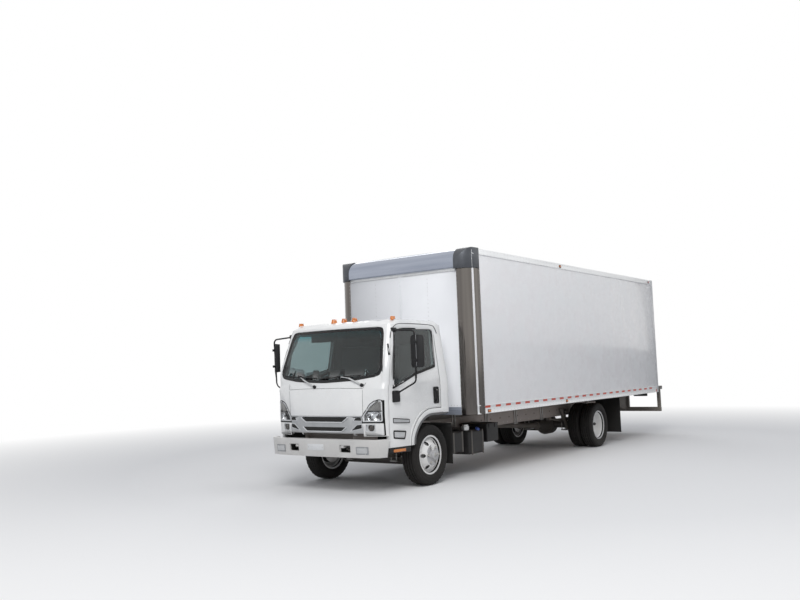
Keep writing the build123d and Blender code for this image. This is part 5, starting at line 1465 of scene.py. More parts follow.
def place_tyres():
    """Six tyres, each rear pair joined as its CAD node has it."""
    master = make_tyre()
    back = REAR_AXLE - FRONT_AXLE
    outer = REAR_WHEEL_Y - FRONT_WHEEL_Y
    rears = [copy_of(master, (back, outer - inward, 0)) for inward in (0, DUAL_SPACING)]
    for side, word in SIDES:
        front = copy_of(master, flip_y=side < 0)
        settle(front, f"Front tyre {word}", tyre_rubber, f"wheel_front_{word}")
        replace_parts(front, f"tyre_front_{word}")
        pair = join([copy_of(rear, flip_y=side < 0) for rear in rears])
        settle(pair, f"Rear tyres {word}", tyre_rubber, f"wheel_rear_{word}")
        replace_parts(pair, f"tyres_rear_{word}")
    for piece in rears + [master]:
        bpy.data.objects.remove(piece)


place_tyres()


# Wheels: painted discs, dark hub, plated nuts
def dress_wheel(row, word, side, axle_x, wheel_y, nut_reach, hub_reach):
    """A wheel whose hub and nuts have their own finish, with a valve and a bright hub centre."""
    body = f"wheel_{row}_{word}"
    name = f"{row.title()} wheel{'s' if row == 'rear' else ''} {word}"
    wheel = dressed(body, name, wheel_paint, 0.0022, angle=28)
    wheel_y *= side

    def away(c):
        return Vector((c.x - axle_x, c.z - HUB_HEIGHT)).length

    def out(c):
        return (c.y - wheel_y) * side

    repaint(wheel, hub_black, lambda c, n: away(c) < 0.09 and out(c) > nut_reach - 0.001)
    repaint(
        wheel, bolt_steel,
        lambda c, n: 0.092 < away(c) < 0.131 and out(c) > nut_reach + 0.0012,
    )
    # Painted shade: the walls of the hand holes are made black, for the dark inside the openings.
    repaint(wheel, black_plastic, lambda c, n: 0.15 < away(c) < 0.206 and abs(n.y) < 0.35)

    def place(x, outward, z):
        return (axle_x + x, wheel_y + side * outward, HUB_HEIGHT + z)

    cap = [
        (0.0, -0.002), (0.03, -0.002), (0.03, 0.002), (0.024, 0.006), (0.01, 0.0075), (0.0, 0.0075),
    ]
    cap = turned(cap, place(0, hub_reach, 0), (0, side, 0), 0.0006, 24)
    settle(cap, f"{name} hub centre", machined_steel, body)
    bolt = rod(
        place(0.06, hub_reach - 0.016, 0), place(0.06, hub_reach - 0.006, 0), 0.006, 0.001, 6
    )
    bolts = repeat_round(bolt, 8, (axle_x, 0, HUB_HEIGHT), (0, 1, 0))
    settle(bolts, f"{name} hub bolts", bolt_steel, body)
    line = [place(0.205, 0.03, 0.06), place(0.2, 0.06, 0.058), place(0.18, 0.078, 0.052)]
    settle(pipe(line, 0.0045, sides=2), f"{name} valve", machined_steel, body)


for side, word in SIDES:
    dress_wheel("front", word, side, FRONT_AXLE, FRONT_WHEEL_Y, 0.127, 0.169)
    dress_wheel("rear", word, side, REAR_AXLE, REAR_WHEEL_Y, -0.127, -0.048)
    dressed(f"knuckle_{word}", f"Knuckle {word}", cast_iron, 0.003)

# Running gear and tanks, dressed from the CAD
dressed("tie_rod", "Tie rod", machined_steel, 0.001)
dressed("front_axle", "Front axle beam", cast_iron, 0.004)
dressed("rear_axle", "Rear axle", cast_iron, 0.004)
dressed("leaf_springs", "Leaf springs", frame_paint, 0.0015)
dressed("chassis_frame", "Chassis frame", rail_paint_with_painted_light, 0.003)
dressed("engine_block", "Engine", cast_iron, 0.008)
dressed("propeller_shaft", "Propeller shaft", frame_paint, 0.002)
dressed("fuel_tank", "Fuel tank", tank_aluminium, 0.004)
dressed("reductant_tank", "Reductant tank", black_plastic, 0.006)
# Partly painted shade: the battery box and air tank are made black for the shadow they sit in.
dressed("air_and_battery", "Battery box and air tank", black_plastic, 0.004)
dressed("exhaust", "Exhaust", exhaust_steel, 0.002)
dressed("mud_flaps", "Mud flaps", flap_rubber, 0.001)
rear_step = dressed("rear_step", "Rear step", galvanised, 0.003)
repaint(rear_step, frame_paint, lambda centre, normal: centre.z < 0.932)

# Load body, dressed from the CAD
dressed("side_walls", "Side walls", body_paint, 0.001)
dressed("side_rails", "Side rails", rail_aluminium, 0.002)
dressed("roof", "Roof sheet", roof_aluminium, 0.002)
dressed("rear_frame", "Rear frame", galvanised, 0.003)
dressed("rear_door", "Roll-up door", body_paint, 0.002)
floor_piece = dressed("floor_sills", "Floor and sills", floor_wood, 0.002)
repaint(floor_piece, frame_paint, lambda c, n: c.z < 0.892)
for vertex in floor_piece.data.vertices:
    vertex.co.x = min(vertex.co.x, 2.943 if abs(vertex.co.y) < 0.98 else 2.77)


# Load body details
def tape_rails(side, word):
    """Red and pale dashes along a bottom rail, its rivets, and its marker lamps."""
    face = side * 1.2142

    def plate(low_x, low_z, high_x, high_z, rise, edge=0.0, segments=2):
        return block((low_x, face, low_z), (high_x, face + side * rise, high_z), edge, segments)

    settle(plate(-4.48, 0.968, 2.655, 1.002, -0.0012), f"Pale tape {word}", silver_tape)
    dash = repeat_along(plate(-4.201, 0.968, -4.049, 1.002, 0.0006), (0.3045, 0, 0), 23)
    settle(dash, f"Red tape {word}", red_tape)
    for name, heights in (
        ("Bottom", ((0.905, 0.0062), (0.948, 0.005))), ("Top", ((3.214, 0.006), (3.268, 0.005))),
    ):
        rows = [
            rivet_row((-4.44, side * 1.215, z), (0.102, 0, 0), 69, radius, (0, side, 0))
            for z, radius in heights
        ]
        settle(join(rows), f"{name} rail rivets {word}", bolt_steel)
    lamps = []
    seats = []
    for x, z, half in (
        (2.533, 0.922, 0.0375), (-0.061, 0.933, 0.03), (-0.061, 3.242, 0.03), (-4.36, 3.242, 0.025),
    ):
        reach = half + 0.008
        seats.append(plate(x - reach, z - 0.024, x + reach, z + 0.024, 0.004, 0.003))
        lamps.append(plate(x - half, z - 0.017, x + half, z + 0.017, 0.012, 0.006, 3))
    settle(join(seats), f"Side marker seats {word}", black_plastic)
    settle(join(lamps[:-1]), f"Side markers {word}", amber_lens)
    settle(lamps[-1], f"Rear top marker {word}", red_lens)
    corner = plate(-4.482, 0.892, -4.44, 0.956, 0.0012, 0.0004)
    settle(corner, f"Rear corner tape {word}", red_tape)


on_both_sides(tape_rails)


def seam_roof():
    """Raised lines over the roof bows."""
    bow = block((-4.3, -1.15, 3.2925), (-4.262, 1.15, 3.2955), 0.001)
    settle(repeat_along(bow, (0.61, 0, 0), 12), "Roof bow lines", roof_aluminium)


seam_roof()


# Front of the freight body: wall, posts, nose and corner caps
WALL_FACE = 2.95
POST_EDGE = 1.015
POST_RADIUS = 0.19
POST_OUT = 1.2203
SIDE_SEAM = 2.66
NOSE_FRONT = 2.9945
NOSE_BOTTOM = 3.0
CAP_EDGE = 0.985
CAP_RADIUS = 0.205
CAP_TOP = 3.2995
NOSE_DROP = 0.012


def arc(centre, radius, start, stop, steps=14):
    """Points of an arc in a plane, by its angles in degrees."""
    turns = [radians(start + (stop - start) * step / steps) for step in range(steps + 1)]
    return [(centre[0] + radius * cos(turn), centre[1] + radius * sin(turn)) for turn in turns]


def sheet_line(points, thickness):
    """The closed outline of a sheet whose outer face follows these points."""
    flat = [Vector(point) for point in points]
    inner = []
    for index, point in enumerate(flat):
        along = flat[min(index + 1, len(flat) - 1)] - flat[max(index - 1, 0)]
        inner.append(point + Vector((along.y, -along.x)).normalized() * thickness)
    return flat + inner[::-1]


def upright(outline, low, high, edge, angle=35):
    """A prism over an outline on the ground."""
    piece = outline_mesh([Vector((x, y, low)) for x, y in outline], "NGON")
    return round_edges(push_out(piece, Vector((0, 0, high - low)), 0), edge, angle=angle)


def across(outline, low, high, edge, angle=35):
    """A prism from side to side over an outline in the side view."""
    piece = outline_mesh([Vector((x, low, z)) for x, z in outline], "NGON")
    return round_edges(push_out(piece, Vector((0, high - low, 0)), 0), edge, angle=angle)


def set_wall_back():
    """The front wall, set a little behind the nose and fitted between the posts."""
    wall = dressed("front_wall", "Front wall", front_paint_with_painted_light, 0.0015)
    shift = WALL_FACE - max(vertex.co.x for vertex in wall.data.vertices)
    for vertex in wall.data.vertices:
        vertex.co.x += shift
        vertex.co.y = max(-POST_EDGE, min(POST_EDGE, vertex.co.y))
        vertex.co.z = min(vertex.co.z, NOSE_BOTTOM + 0.002)


set_wall_back()


def make_posts():
    """Polished corner sheets that turn from the front wall onto the side walls."""
    front = WALL_FACE + 0.001
    top = NOSE_BOTTOM + 0.004
    line = [(front, POST_EDGE - 0.012)]
    line += arc((front - POST_RADIUS, POST_OUT - POST_RADIUS), POST_RADIUS, 0, 90, 20)
    line += [(SIDE_SEAM, POST_OUT)]
    post = upright(sheet_line(line, -0.005), 0.887, top, 0.0012)
    hem = block((SIDE_SEAM - 0.004, 1.215, 0.887), (SIDE_SEAM + 0.01, 1.2216, top), 0.0015)
    posts = both_sides(join([post, hem]))
    settle(posts, "Corner posts", polished_steel)
    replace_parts(posts, "corner_posts")


make_posts()


def make_nose():
    """The rounded upper front edge, with its riveted flange."""
    line = [(WALL_FACE + 0.003, NOSE_BOTTOM), (NOSE_FRONT - 0.016, NOSE_BOTTOM + 0.002)]
    line += arc((NOSE_FRONT - 0.014, NOSE_BOTTOM + 0.016), 0.014, -60, 0, 4)
    top = CAP_TOP - NOSE_DROP
    line += arc((NOSE_FRONT - 0.185, top - 0.185), 0.185, 0, 90, 22)
    line += [(2.74, top + 0.003), (SIDE_SEAM, top + 0.006)]
    nose = across(sheet_line(line, -0.006), -CAP_EDGE - 0.004, CAP_EDGE + 0.004, 0.0015)
    settle(nose, "Nose", satin_aluminium)
    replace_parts(nose, "nose_cap")
    flange = block((WALL_FACE, -CAP_EDGE, 2.962), (WALL_FACE + 0.0035, CAP_EDGE, 3.002), 0.0012)
    front = WALL_FACE + 0.006
    bead = rod((front, -CAP_EDGE, 3.001), (front, CAP_EDGE, 3.001), 0.006, 0.001, 12)
    settle(join([flange, bead]), "Nose flange", rail_aluminium)
    pins = rivet_row((WALL_FACE + 0.0035, -0.96, 2.98), (0, 0.048, 0), 41, 0.0055, (1, 0, 0))
    settle(pins, "Nose flange rivets", bolt_steel)


make_nose()


def make_caps():
    """Cast corner caps: the nose's curve meets the post's curve along a ridge."""
    front = NOSE_FRONT + 0.0005
    back = SIDE_SEAM - 0.006
    side_form = [(back, 2.992), (front, 2.992)]
    side_form += arc((front - 0.18, CAP_TOP - 0.18), 0.18, 0, 80, 16)
    side_form += [(back, CAP_TOP)]
    cap = across(side_form, CAP_EDGE, 1.23, 0, 60)
    plan = [(back, 0.9), (front, 0.9)]
    plan += arc((front - CAP_RADIUS, POST_OUT - CAP_RADIUS), CAP_RADIUS, 0, 90, 18)
    plan += [(back, POST_OUT)]
    tool = upright(plan, 2.9, 3.4, 0, 60)
    use_modifier(cap, "BOOLEAN", operation="INTERSECT", object=tool, solver="EXACT")
    bpy.data.objects.remove(tool)
    round_edges(merge(cap, 0.0004), 0.006, 3, 24)
    line = ((0.001, 3.004), (0.001, 3.1), (0.022, 3.205), (0.085, 3.268), (0.19, 3.2945))
    line = [(front - behind, CAP_EDGE + 0.052, z) for behind, z in line]
    caps = both_sides(join([cap, pipe(line, 0.0035, order=4, sides=2)]))
    settle(caps, "Corner caps", cast_metal_with_painted_shade)
    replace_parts(caps, "corner_caps")


make_caps()


def dress_front_wall():
    """Rivet columns, a lap joint, and the ribbed rail along the wall's foot."""
    face = WALL_FACE + 0.0002
    spots = [((face, y, 1.055), (0, 0, 0.061), 31) for y in (-0.49, -0.015, 0.49)]
    spots += [((face + 0.0015, y, 0.9), (0, 0, 0.061), 34) for y in (-1.009, 1.009)]
    spots += [((face, -0.98, 1.022), (0, 0.049, 0), 41)]
    rows = [rivet_row(*spot, 0.0055, (1, 0, 0)) for spot in spots]
    settle(join(rows), "Front wall rivets", bolt_steel)
    lap = block((face, -0.035, 1.0), (face + 0.0012, 0.004, 2.962), 0.0004)
    settle(lap, "Front wall lap", front_paint_with_painted_light)
    base = block((face, -1.002, 0.889), (face + 0.0015, 1.002, 1.0), 0.0008)
    settle(base, "Front rail face", ribbed_aluminium)
    ribs = [
        block((face, -1.002, z), (face + 0.01, 1.002, z + 0.011), 0.003)
        for z in (0.893, 0.923, 0.953, 0.986)
    ]
    settle(join(ribs), "Front rail ribs", ribbed_aluminium)


dress_front_wall()


def light_cap(side, word):
    """A corner cap's dark oval lamp in its raised seat, and the post's side rivets."""
    angle = radians(47)
    out = Vector((cos(angle), sin(angle), 0))
    place = Vector((NOSE_FRONT - CAP_RADIUS, POST_OUT - 0.205, 3.12)) + out * CAP_RADIUS
    rim = [
        (0.0, -0.02), (0.034, -0.02), (0.034, 0.006), (0.029, 0.009), (0.025, 0.006), (0.0, 0.003),
    ]
    glow = [(0.0, 0.002), (0.025, 0.002), (0.025, 0.006), (0.016, 0.011), (0.0, 0.013)]
    for piece, name, material in (
        (turned(rim, place, out, 0.001, 28), "Corner lamp seat", cast_metal_with_painted_shade),
        (turned(glow, place, out, 0, 24), "Corner lamp", dark_lens),
    ):
        hold(piece)
        bpy.ops.transform.rotate(value=-angle, orient_axis="Z", center_override=place)
        bpy.ops.transform.resize(value=(1, 1.55, 0.85), center_override=place)
        bpy.ops.transform.rotate(value=angle, orient_axis="Z", center_override=place)
        if side < 0:
            bpy.ops.transform.mirror(
                constraint_axis=(False, True, False), center_override=(0, 0, 0)
            )
        turn_outward(fix_place(piece))
        settle(piece, f"{name} {word}", material)
    start = (SIDE_SEAM + 0.02, side * 1.2205, 0.93)
    rivets = rivet_row(start, (0, 0, 0.0635), 33, 0.0046, (0, side, 0))
    settle(rivets, f"Corner post rivets {word}", bolt_steel)


on_both_sides(light_cap)


# Rear end details
def dress_rear_door():
    """Hinges and seals on the roll-up door's joints, its lock, its foot pulls, and its tape."""
    face = -4.5615
    up = (0, 0, 0.2988)

    def plate(rise, low_y, low_z, high_y, high_z, edge, ground=0.0):
        return block((face - rise, low_y, low_z), (face - ground, high_y, high_z), edge)

    hinges = []
    for y in (-0.8, -0.27, 0.27, 0.8):
        leaf = plate(0.003, y - 0.024, 1.2931, y + 0.024, 1.3651, 0.001)
        pin = rod(
            (face - 0.004, y - 0.028, 1.329), (face - 0.004, y + 0.028, 1.329), 0.006, 0.001, 12
        )
        hinges.append(repeat_along(join([leaf, pin]), up, 6))
    settle(join(hinges), "Roll-up door hinges", galvanised)
    seals = repeat_along(plate(0.0012, -1.108, 1.3265, 1.108, 1.3315, 0.0005), up, 6)
    settle(seals, "Roll-up door joint seals", rubber)
    rivets = [
        rivet_row((face - 0.0005, y, 1.06), (0, 0, 0.0598), 35, 0.005, (-1, 0, 0))
        for y in (-1.09, 1.09)
    ]
    settle(join(rivets), "Roll-up door rivets", bolt_steel)
    settle(plate(0.001, -1.06, 1.075, 1.06, 1.125, 0), "Door pale tape", silver_tape)
    dash = plate(0.0016, -1.06, 1.075, -0.908, 1.125, 0, 0.0008)
    settle(repeat_along(dash, (0, 0.305, 0), 7), "Door red tape", red_tape)
    line = ((0.004, -0.085), (0.016, -0.082), (0.017, 0.0), (0.016, 0.082), (0.004, 0.085))
    bar = pipe([(face - rise, y, 1.245) for rise, y in line], 0.007, order=3, sides=2)
    hasp = rod((face - 0.016, 0.0, 1.186), (face - 0.003, 0.0, 1.186), 0.011, 0.002)
    lock = [
        plate(0.004, -0.115, 1.15, 0.115, 1.285, 0.003),
        plate(0.013, -0.03, 1.16, 0.03, 1.215, 0.003, 0.003), hasp,
    ]
    settle(join(lock), "Roll-up door lock", galvanised)
    settle(bar, "Roll-up door lock lever", machined_steel)
    pulls = copy_and_join(plate(0.012, -0.62, 1.045, -0.5, 1.066, 0.004), (0, 1.12, 0))
    settle(pulls, "Roll-up door foot pulls", black_plastic)
    seal = plate(0.006, -1.105, 1.0305, 1.105, 1.04, 0.002)
    settle(seal, "Roll-up door bottom seal", rubber)


dress_rear_door()


def dress_rear_frame():
    """Rivets, marker lamps, corner lamps, tape and bumpers on the rear frame."""
    face = -4.5835
    normal = (-1, 0, 0)
    spots = [((face, y, 1.07), (0, 0, 0.075), 28) for y in (-1.197, -1.14, 1.14, 1.197)]
    spots += [((face, -1.09, z), (0, 0.075, 0), 30) for z in (3.15, 3.272)]
    rows = [rivet_row(*spot, 0.0052, normal) for spot in spots]
    settle(join(rows), "Rear frame rivets", bolt_steel)
    seats = []
    glows = []
    for y in (-0.16, 0.0, 0.16, -1.06, 1.06):
        seats.append(
            block((face - 0.005, y - 0.062, 3.188), (face + 0.001, y + 0.062, 3.236), 0.003)
        )
        glows.append(block((face - 0.016, y - 0.052, 3.196), (face, y + 0.052, 3.228), 0.007, 3))
    settle(join(seats), "Rear marker seats", black_plastic)
    settle(join(glows), "Rear markers", red_lens)
    ring = [
        (0.0, -0.002), (0.046, -0.002), (0.046, 0.005), (0.04, 0.008), (0.038, 0.004), (0.0, 0.004),
    ]
    glow = [(0.0, 0.0), (0.038, 0.0), (0.038, 0.008), (0.026, 0.013), (0.0, 0.015)]
    for side, word in SIDES:
        rims = []
        for z, material, label in (
            (1.52, red_lens, "stop"), (1.37, amber_lens, "turn"), (1.22, white_lens, "reversing"),
        ):
            place = (face, side * 1.168, z)
            rims.append(turned(ring, place, normal, 0.0008, 28))
            settle(turned(glow, place, normal, 0, 28), f"Rear {label} lamp {word}", material)
        settle(join(rims), f"Rear lamp rims {word}", rubber)
        y = side * 1.02
        bump = block((face - 0.05, y - 0.055, 0.892), (face, y + 0.055, 0.934), 0.01)
        settle(bump, f"Dock rubber {word}", rubber)
    dash = block((face - 0.0014, -1.1, 0.962), (face, -0.948, 1.008), 0)
    settle(repeat_along(dash, (0, 0.305, 0), 7), "Rear sill red tape", red_tape)


dress_rear_frame()


def dress_rear_step():
    """Grip bars on the step, its lamps below, its plate holder and its tape."""
    grip = rod((-4.88, -1.16, 1.0118), (-4.88, 1.16, 1.0118), 0.0022, 0, 6)
    settle(repeat_along(grip, (0.022, 0, 0), 13), "Rear step grip bars", galvanised)
    for side, word in SIDES:
        y = side * 0.8
        light = block((-4.64, y - 0.15, 0.8), (-4.6, y + 0.15, 0.885), 0.008)
        settle(light, f"Rear lamp box {word}", black_plastic)
        for low, high, material, label in (
            (-0.142, -0.052, amber_lens, "turn"), (-0.048, 0.048, red_lens, "tail"),
            (0.052, 0.142, white_lens, "reversing"),
        ):
            glow = block((-4.648, y + side * low, 0.808), (-4.63, y + side * high, 0.877), 0.005)
            settle(glow, f"Low rear {label} lens {word}", material)
        arm = block((-4.636, y - 0.015, 0.88), (-4.606, y + 0.015, 0.942), 0.003)
        settle(arm, f"Lamp box arm {word}", frame_paint)
    holder = block((-4.8, -0.16, 0.6), (-4.79, 0.16, 0.77), 0.004)
    strap = block((-4.79, -0.11, 0.56), (-4.782, -0.085, 0.94), 0.002)
    straps = copy_and_join(strap, (0, 0.195, 0))
    settle(join([holder, straps]), "Rear plate holder", black_plastic)
    plate = block((-4.8025, -0.15, 0.612), (-4.799, 0.15, 0.762), 0.003)
    settle(plate, "Blank rear plate", silver_tape)
    dash = block((-4.7915, -1.1, 0.497), (-4.7895, -0.948, 0.535), 0.0004)
    settle(repeat_along(dash, (0, 0.305, 0), 7), "Guard red tape", red_tape)


dress_rear_step()


# Underbody details
def bolt_frame(side, word):
    """Bolt heads along a frame rail, and the U-bolts that hold the body on it."""
    face = side * 0.4255
    rows = [
        rivet_row((-4.4, face, 0.625), (0.152, 0, 0), 58, 0.0085, (0, side, 0)),
        rivet_row((-4.33, face, 0.765), (0.304, 0, 0), 29, 0.0085, (0, side, 0)),
    ]
    settle(join(rows), f"Frame rail bolts {word}", bolt_steel)
    # Painted shade: black discs stand for the dark insides of the frame's holes.
    hole = rod((-4.3, face - side * 0.002, 0.7), (-4.3, face + side * 0.0006, 0.7), 0.012, 0, 12)
    settle(repeat_along(hole, (0.304, 0, 0), 28), f"Frame rail holes {word}", rubber)
    bands = []
    y = side * 0.395
    for x in (1.322, 0.353, -0.62, -2.62, -3.6, 2.3):
        for place in (x - 0.035, x + 0.035):
            foot, top = (place, side * 0.436, 0.56), (place, side * 0.436, 0.885)
            bands.append(rod(foot, top, 0.009, 0.001, 10))
        bands.append(block((x - 0.055, y - 0.052, 0.572), (x + 0.055, y + 0.052, 0.584), 0.002))
    settle(join(bands), f"Body U-bolts {word}", machined_steel)


on_both_sides(bolt_frame)


def clamp_axles():
    """U-bolts over the springs, and shock absorbers."""
    for axle_x, top, label in ((FRONT_AXLE, 0.52, "front"), (REAR_AXLE, 0.69, "rear")):
        ties = []
        for y in (0.395, -0.395):
            for x in (axle_x - 0.07, axle_x + 0.07):
                for aside in (-0.044, 0.044):
                    ties.append(rod((x, y + aside, 0.3), (x, y + aside, top), 0.009, 0.001, 10))
            low, high = (axle_x - 0.095, y - 0.056, 0.3), (axle_x + 0.095, y + 0.056, 0.316)
            ties.append(block(low, high, 0.003))
        settle(join(ties), f"Axle U-bolts {label}", machined_steel)
    dampers = []
    for side in (1, -1):
        for foot, top in (
            ((FRONT_AXLE - 0.115, side * 0.505, 0.33), (FRONT_AXLE - 0.29, side * 0.47, 0.7)),
            ((REAR_AXLE + 0.16, side * 0.52, 0.33), (REAR_AXLE + 0.33, side * 0.47, 0.72)),
        ):
            foot, top, aside = Vector(foot), Vector(top), Vector((0, side, 0))
            dampers += [
                rod(foot, foot.lerp(top, 0.56), 0.03, 0.004),
                rod(foot.lerp(top, 0.5), top, 0.036, 0.004),
                rod(top - aside * 0.045, top + aside * 0.02, 0.016, 0.002),
                rod(foot - aside * 0.03, foot + aside * 0.02, 0.018, 0.002),
            ]
    settle(join(dampers), "Shock absorbers", frame_paint)


clamp_axles()


def run_lines():
    """Brake and fuel lines, the rear brake hose, the rear cross tube and the mud flap bars."""
    sags = ((4.2, 0), (3.2, -0.01), (1.5, 0), (0.2, -0.008), (-1.2, 0), (-2.6, -0.01), (-4.3, 0))
    lines = [
        pipe([(x, y, z + sag) for x, sag in sags], 0.007, sides=1)
        for y, z in ((0.35, 0.735), (0.35, 0.713), (-0.35, 0.735))
    ]
    settle(join(lines), "Chassis lines", rubber)
    hose = [
        (-1.35, 0.35, 0.72), (-1.42, 0.32, 0.6), (-1.5, 0.22, 0.585), (-1.6, 0.12, 0.6),
        (-1.66, 0.06, 0.585),
    ]
    settle(pipe(hose, 0.009, sides=2), "Rear brake hose", rubber)
    tube = rod((-2.98, -0.7, 0.8), (-2.98, 0.98, 0.8), 0.024, 0.003, 20)
    feet = [block((-3.02, y, 0.77), (-2.94, y + 0.06, 0.888), 0.004) for y in (0.5, -0.56)]
    settle(join([tube, *feet]), "Rear cross tube", frame_paint)
    bars = [
        block((x - 0.012, near, z - 0.03), (x + 0.012, far, z), 0.002)
        for x, z, near, far in (
            (-2.645, 0.875, 0.64, 0.98), (3.185, 0.8, 0.62, 0.98),
            (-2.645, 0.875, -0.98, -0.62), (3.185, 0.8, -0.98, -0.62),
        )
    ]
    settle(join(bars), "Mud flap bars", frame_paint)


run_lines()


def dress_tanks():
    """Straps, caps and lids of the tanks and the battery box, and the exhaust's clamps."""
    straps = [
        block((x - 0.02, near, low), (x + 0.02, far, high), 0.001)
        for x in (2.55, 2.05)
        for near, low, far, high in (
            (-0.9625, 0.305, -0.466, 0.3095), (-0.964, 0.3, -0.959, 0.66),
            (-0.9625, 0.657, -0.43, 0.663),
        )
    ]
    settle(join(straps), "Fuel tank straps", frame_paint)
    cap = [(0.0, 0.0), (0.052, 0.0), (0.052, 0.03), (0.044, 0.04), (0.0, 0.042)]
    cap = turned(cap, (1.9, -0.958, 0.6), (0, -1, 0.35), 0.002, 28)
    settle(cap, "Fuel cap", black_plastic)
    cap = [(0.0, 0.0), (0.034, 0.0), (0.034, 0.03), (0.026, 0.04), (0.0, 0.041)]
    cap = turned(cap, (2.405, 0.905, 0.63), (0, 0.5, 1), 0.002, 24)
    settle(cap, "Reductant cap", blue_plastic)
    neck = rod((2.405, 0.898, 0.615), (2.405, 0.91, 0.64), 0.036, 0.002)
    settle(neck, "Reductant filler neck", black_plastic)
    can = rod((2.56, 0.8, 0.56), (2.56, 0.8, 0.7), 0.06, 0.008, 32)
    lid = rod((2.56, 0.8, 0.695), (2.56, 0.8, 0.722), 0.048, 0.006, 32)
    settle(join([can, lid]), "Air dryer", tank_aluminium)
    settle(block((2.545, 0.42, 0.64), (2.575, 0.78, 0.68), 0.003), "Air dryer arm", frame_paint)
    bands = []
    for x in (3.03, 2.8):
        bands.append(block((x - 0.018, 0.478, 0.346), (x + 0.018, 0.903, 0.3515), 0.001))
        bands.append(block((x - 0.018, 0.8985, 0.348), (x + 0.018, 0.9035, 0.642), 0.001))
    for x in (2.62, 2.32):
        bands.append(block((x - 0.016, 0.948, 0.292), (x + 0.016, 0.9525, 0.64), 0.001))
    settle(join(bands), "Tank bands", cast_iron)
    lid = [block((1.812, 0.476, 0.69), (2.158, 0.934, 0.706), 0.005)]
    lid += [block((x, 0.9295, 0.64), (x + 0.03, 0.9385, 0.7), 0.003) for x in (1.9, 2.07)]
    settle(join(lid), "Battery box lid", black_plastic)
    valve = [block((1.62, 0.44, 0.56), (1.74, 0.56, 0.68), 0.01)]
    valve += [rod((1.68, 0.56, z), (1.68, 0.6, z), 0.022, 0.004) for z in (0.59, 0.645)]
    settle(join(valve), "Valve block", cast_iron)
    clamp = [(0.134, -0.012), (0.14, -0.012), (0.14, 0.012), (0.134, 0.012)]
    clamps = [turned(clamp, (x, -0.6, 0.56), FORWARD, 0.001, 36) for x in (1.4, 0.7)]
    settle(join(clamps), "Exhaust clamps", machined_steel)


dress_tanks()


# Seats: padded cushions, backs and headrests on plain bases
SEAT_LEAN = 0.135
SEAT_FOOT = 1.3
SEAT_PLACES = (("driver", 0.285, 0.775), ("middle", -0.258, 0.255), ("passenger", -0.8, -0.268))


def lean_back(piece):
    """Tilts an upright seat piece to the angle of the seat backs."""
    for vertex in piece.data.vertices:
        vertex.co.x -= (vertex.co.z - SEAT_FOOT) * SEAT_LEAN
    return piece


def puff(piece, voxel, reach):
    """Fills a pad with a short cloth simulation, held to this reach."""
    hold(piece)
    piece.data.remesh_voxel_size = voxel
    bpy.ops.object.voxel_remesh()
    rest = [vertex.co.copy() for vertex in piece.data.vertices]
    bpy.ops.object.modifier_add(type="CLOTH")
    cloth = piece.modifiers[-1]
    cloth.settings.quality = 4
    cloth.settings.use_pressure = True
    cloth.settings.uniform_pressure_force = 4.0
    cloth.settings.effector_weights.gravity = 0.0
    cloth.settings.tension_stiffness = 12.0
    for step in range(1, 21):
        bpy.context.scene.frame_set(step)
    bpy.ops.object.modifier_apply(modifier=cloth.name)
    bpy.context.scene.frame_set(1)
    for vertex, place in zip(piece.data.vertices, rest):
        move = vertex.co - place
        if move.length > reach:
            vertex.co = place + move.normalized() * reach
    return piece


def sew(piece, axis, lines, depth, width, top):
    """Presses sewn channels into a pad along lines across one axis, on its showing face."""
    for vertex in piece.data.vertices:
        if top(vertex.co):
            for line in lines:
                away = abs(vertex.co[axis] - line) / width
                if away < 2.5:
                    vertex.co += top(vertex.co) * depth * 2.718 ** (-away * away)
    return piece


def make_pad(name, low, high, material, channels=(), leaning=False, showing=2):
    """One padded piece, with channels pressed into its showing face."""
    pad = block(low, high, 0.024, 4)
    pad = puff(pad, 0.012, 0.013)
    inward = Vector((0, 0, -1)) if showing == 2 else Vector((-1, 0, 0))
    level = high[showing] - 0.03

    def pressed(place):
        return inward if place[showing] > level else None

    across = 0 if showing == 2 else 2
    sew(pad, across, channels, 0.007, 0.006, pressed)
    use_modifier(pad, "SUBSURF", levels=1)
    if leaning:
        lean_back(pad)
    smooth(pad, 180)
    settle(pad, name, material, "cab")
    return pad


def make_welt(low, high, showing, leaning):
    """The piped seam round a pad's showing edge."""
    corner = 0.03
    first, second = (0, 1) if showing == 2 else (2, 1)
    outline = rounded(rectangle(low[first], low[second], high[first], high[second]), corner)
    spots = []
    for a, b in outline:
        spot = Vector((0, 0, 0))
        spot[first], spot[second] = a, b
        spot[showing] = high[showing] - 0.018
        spots.append(spot)
    welt = pipe(spots, 0.0035, order=3, sides=2, smoothness=2, closed=True)
    return lean_back(welt) if leaning else welt


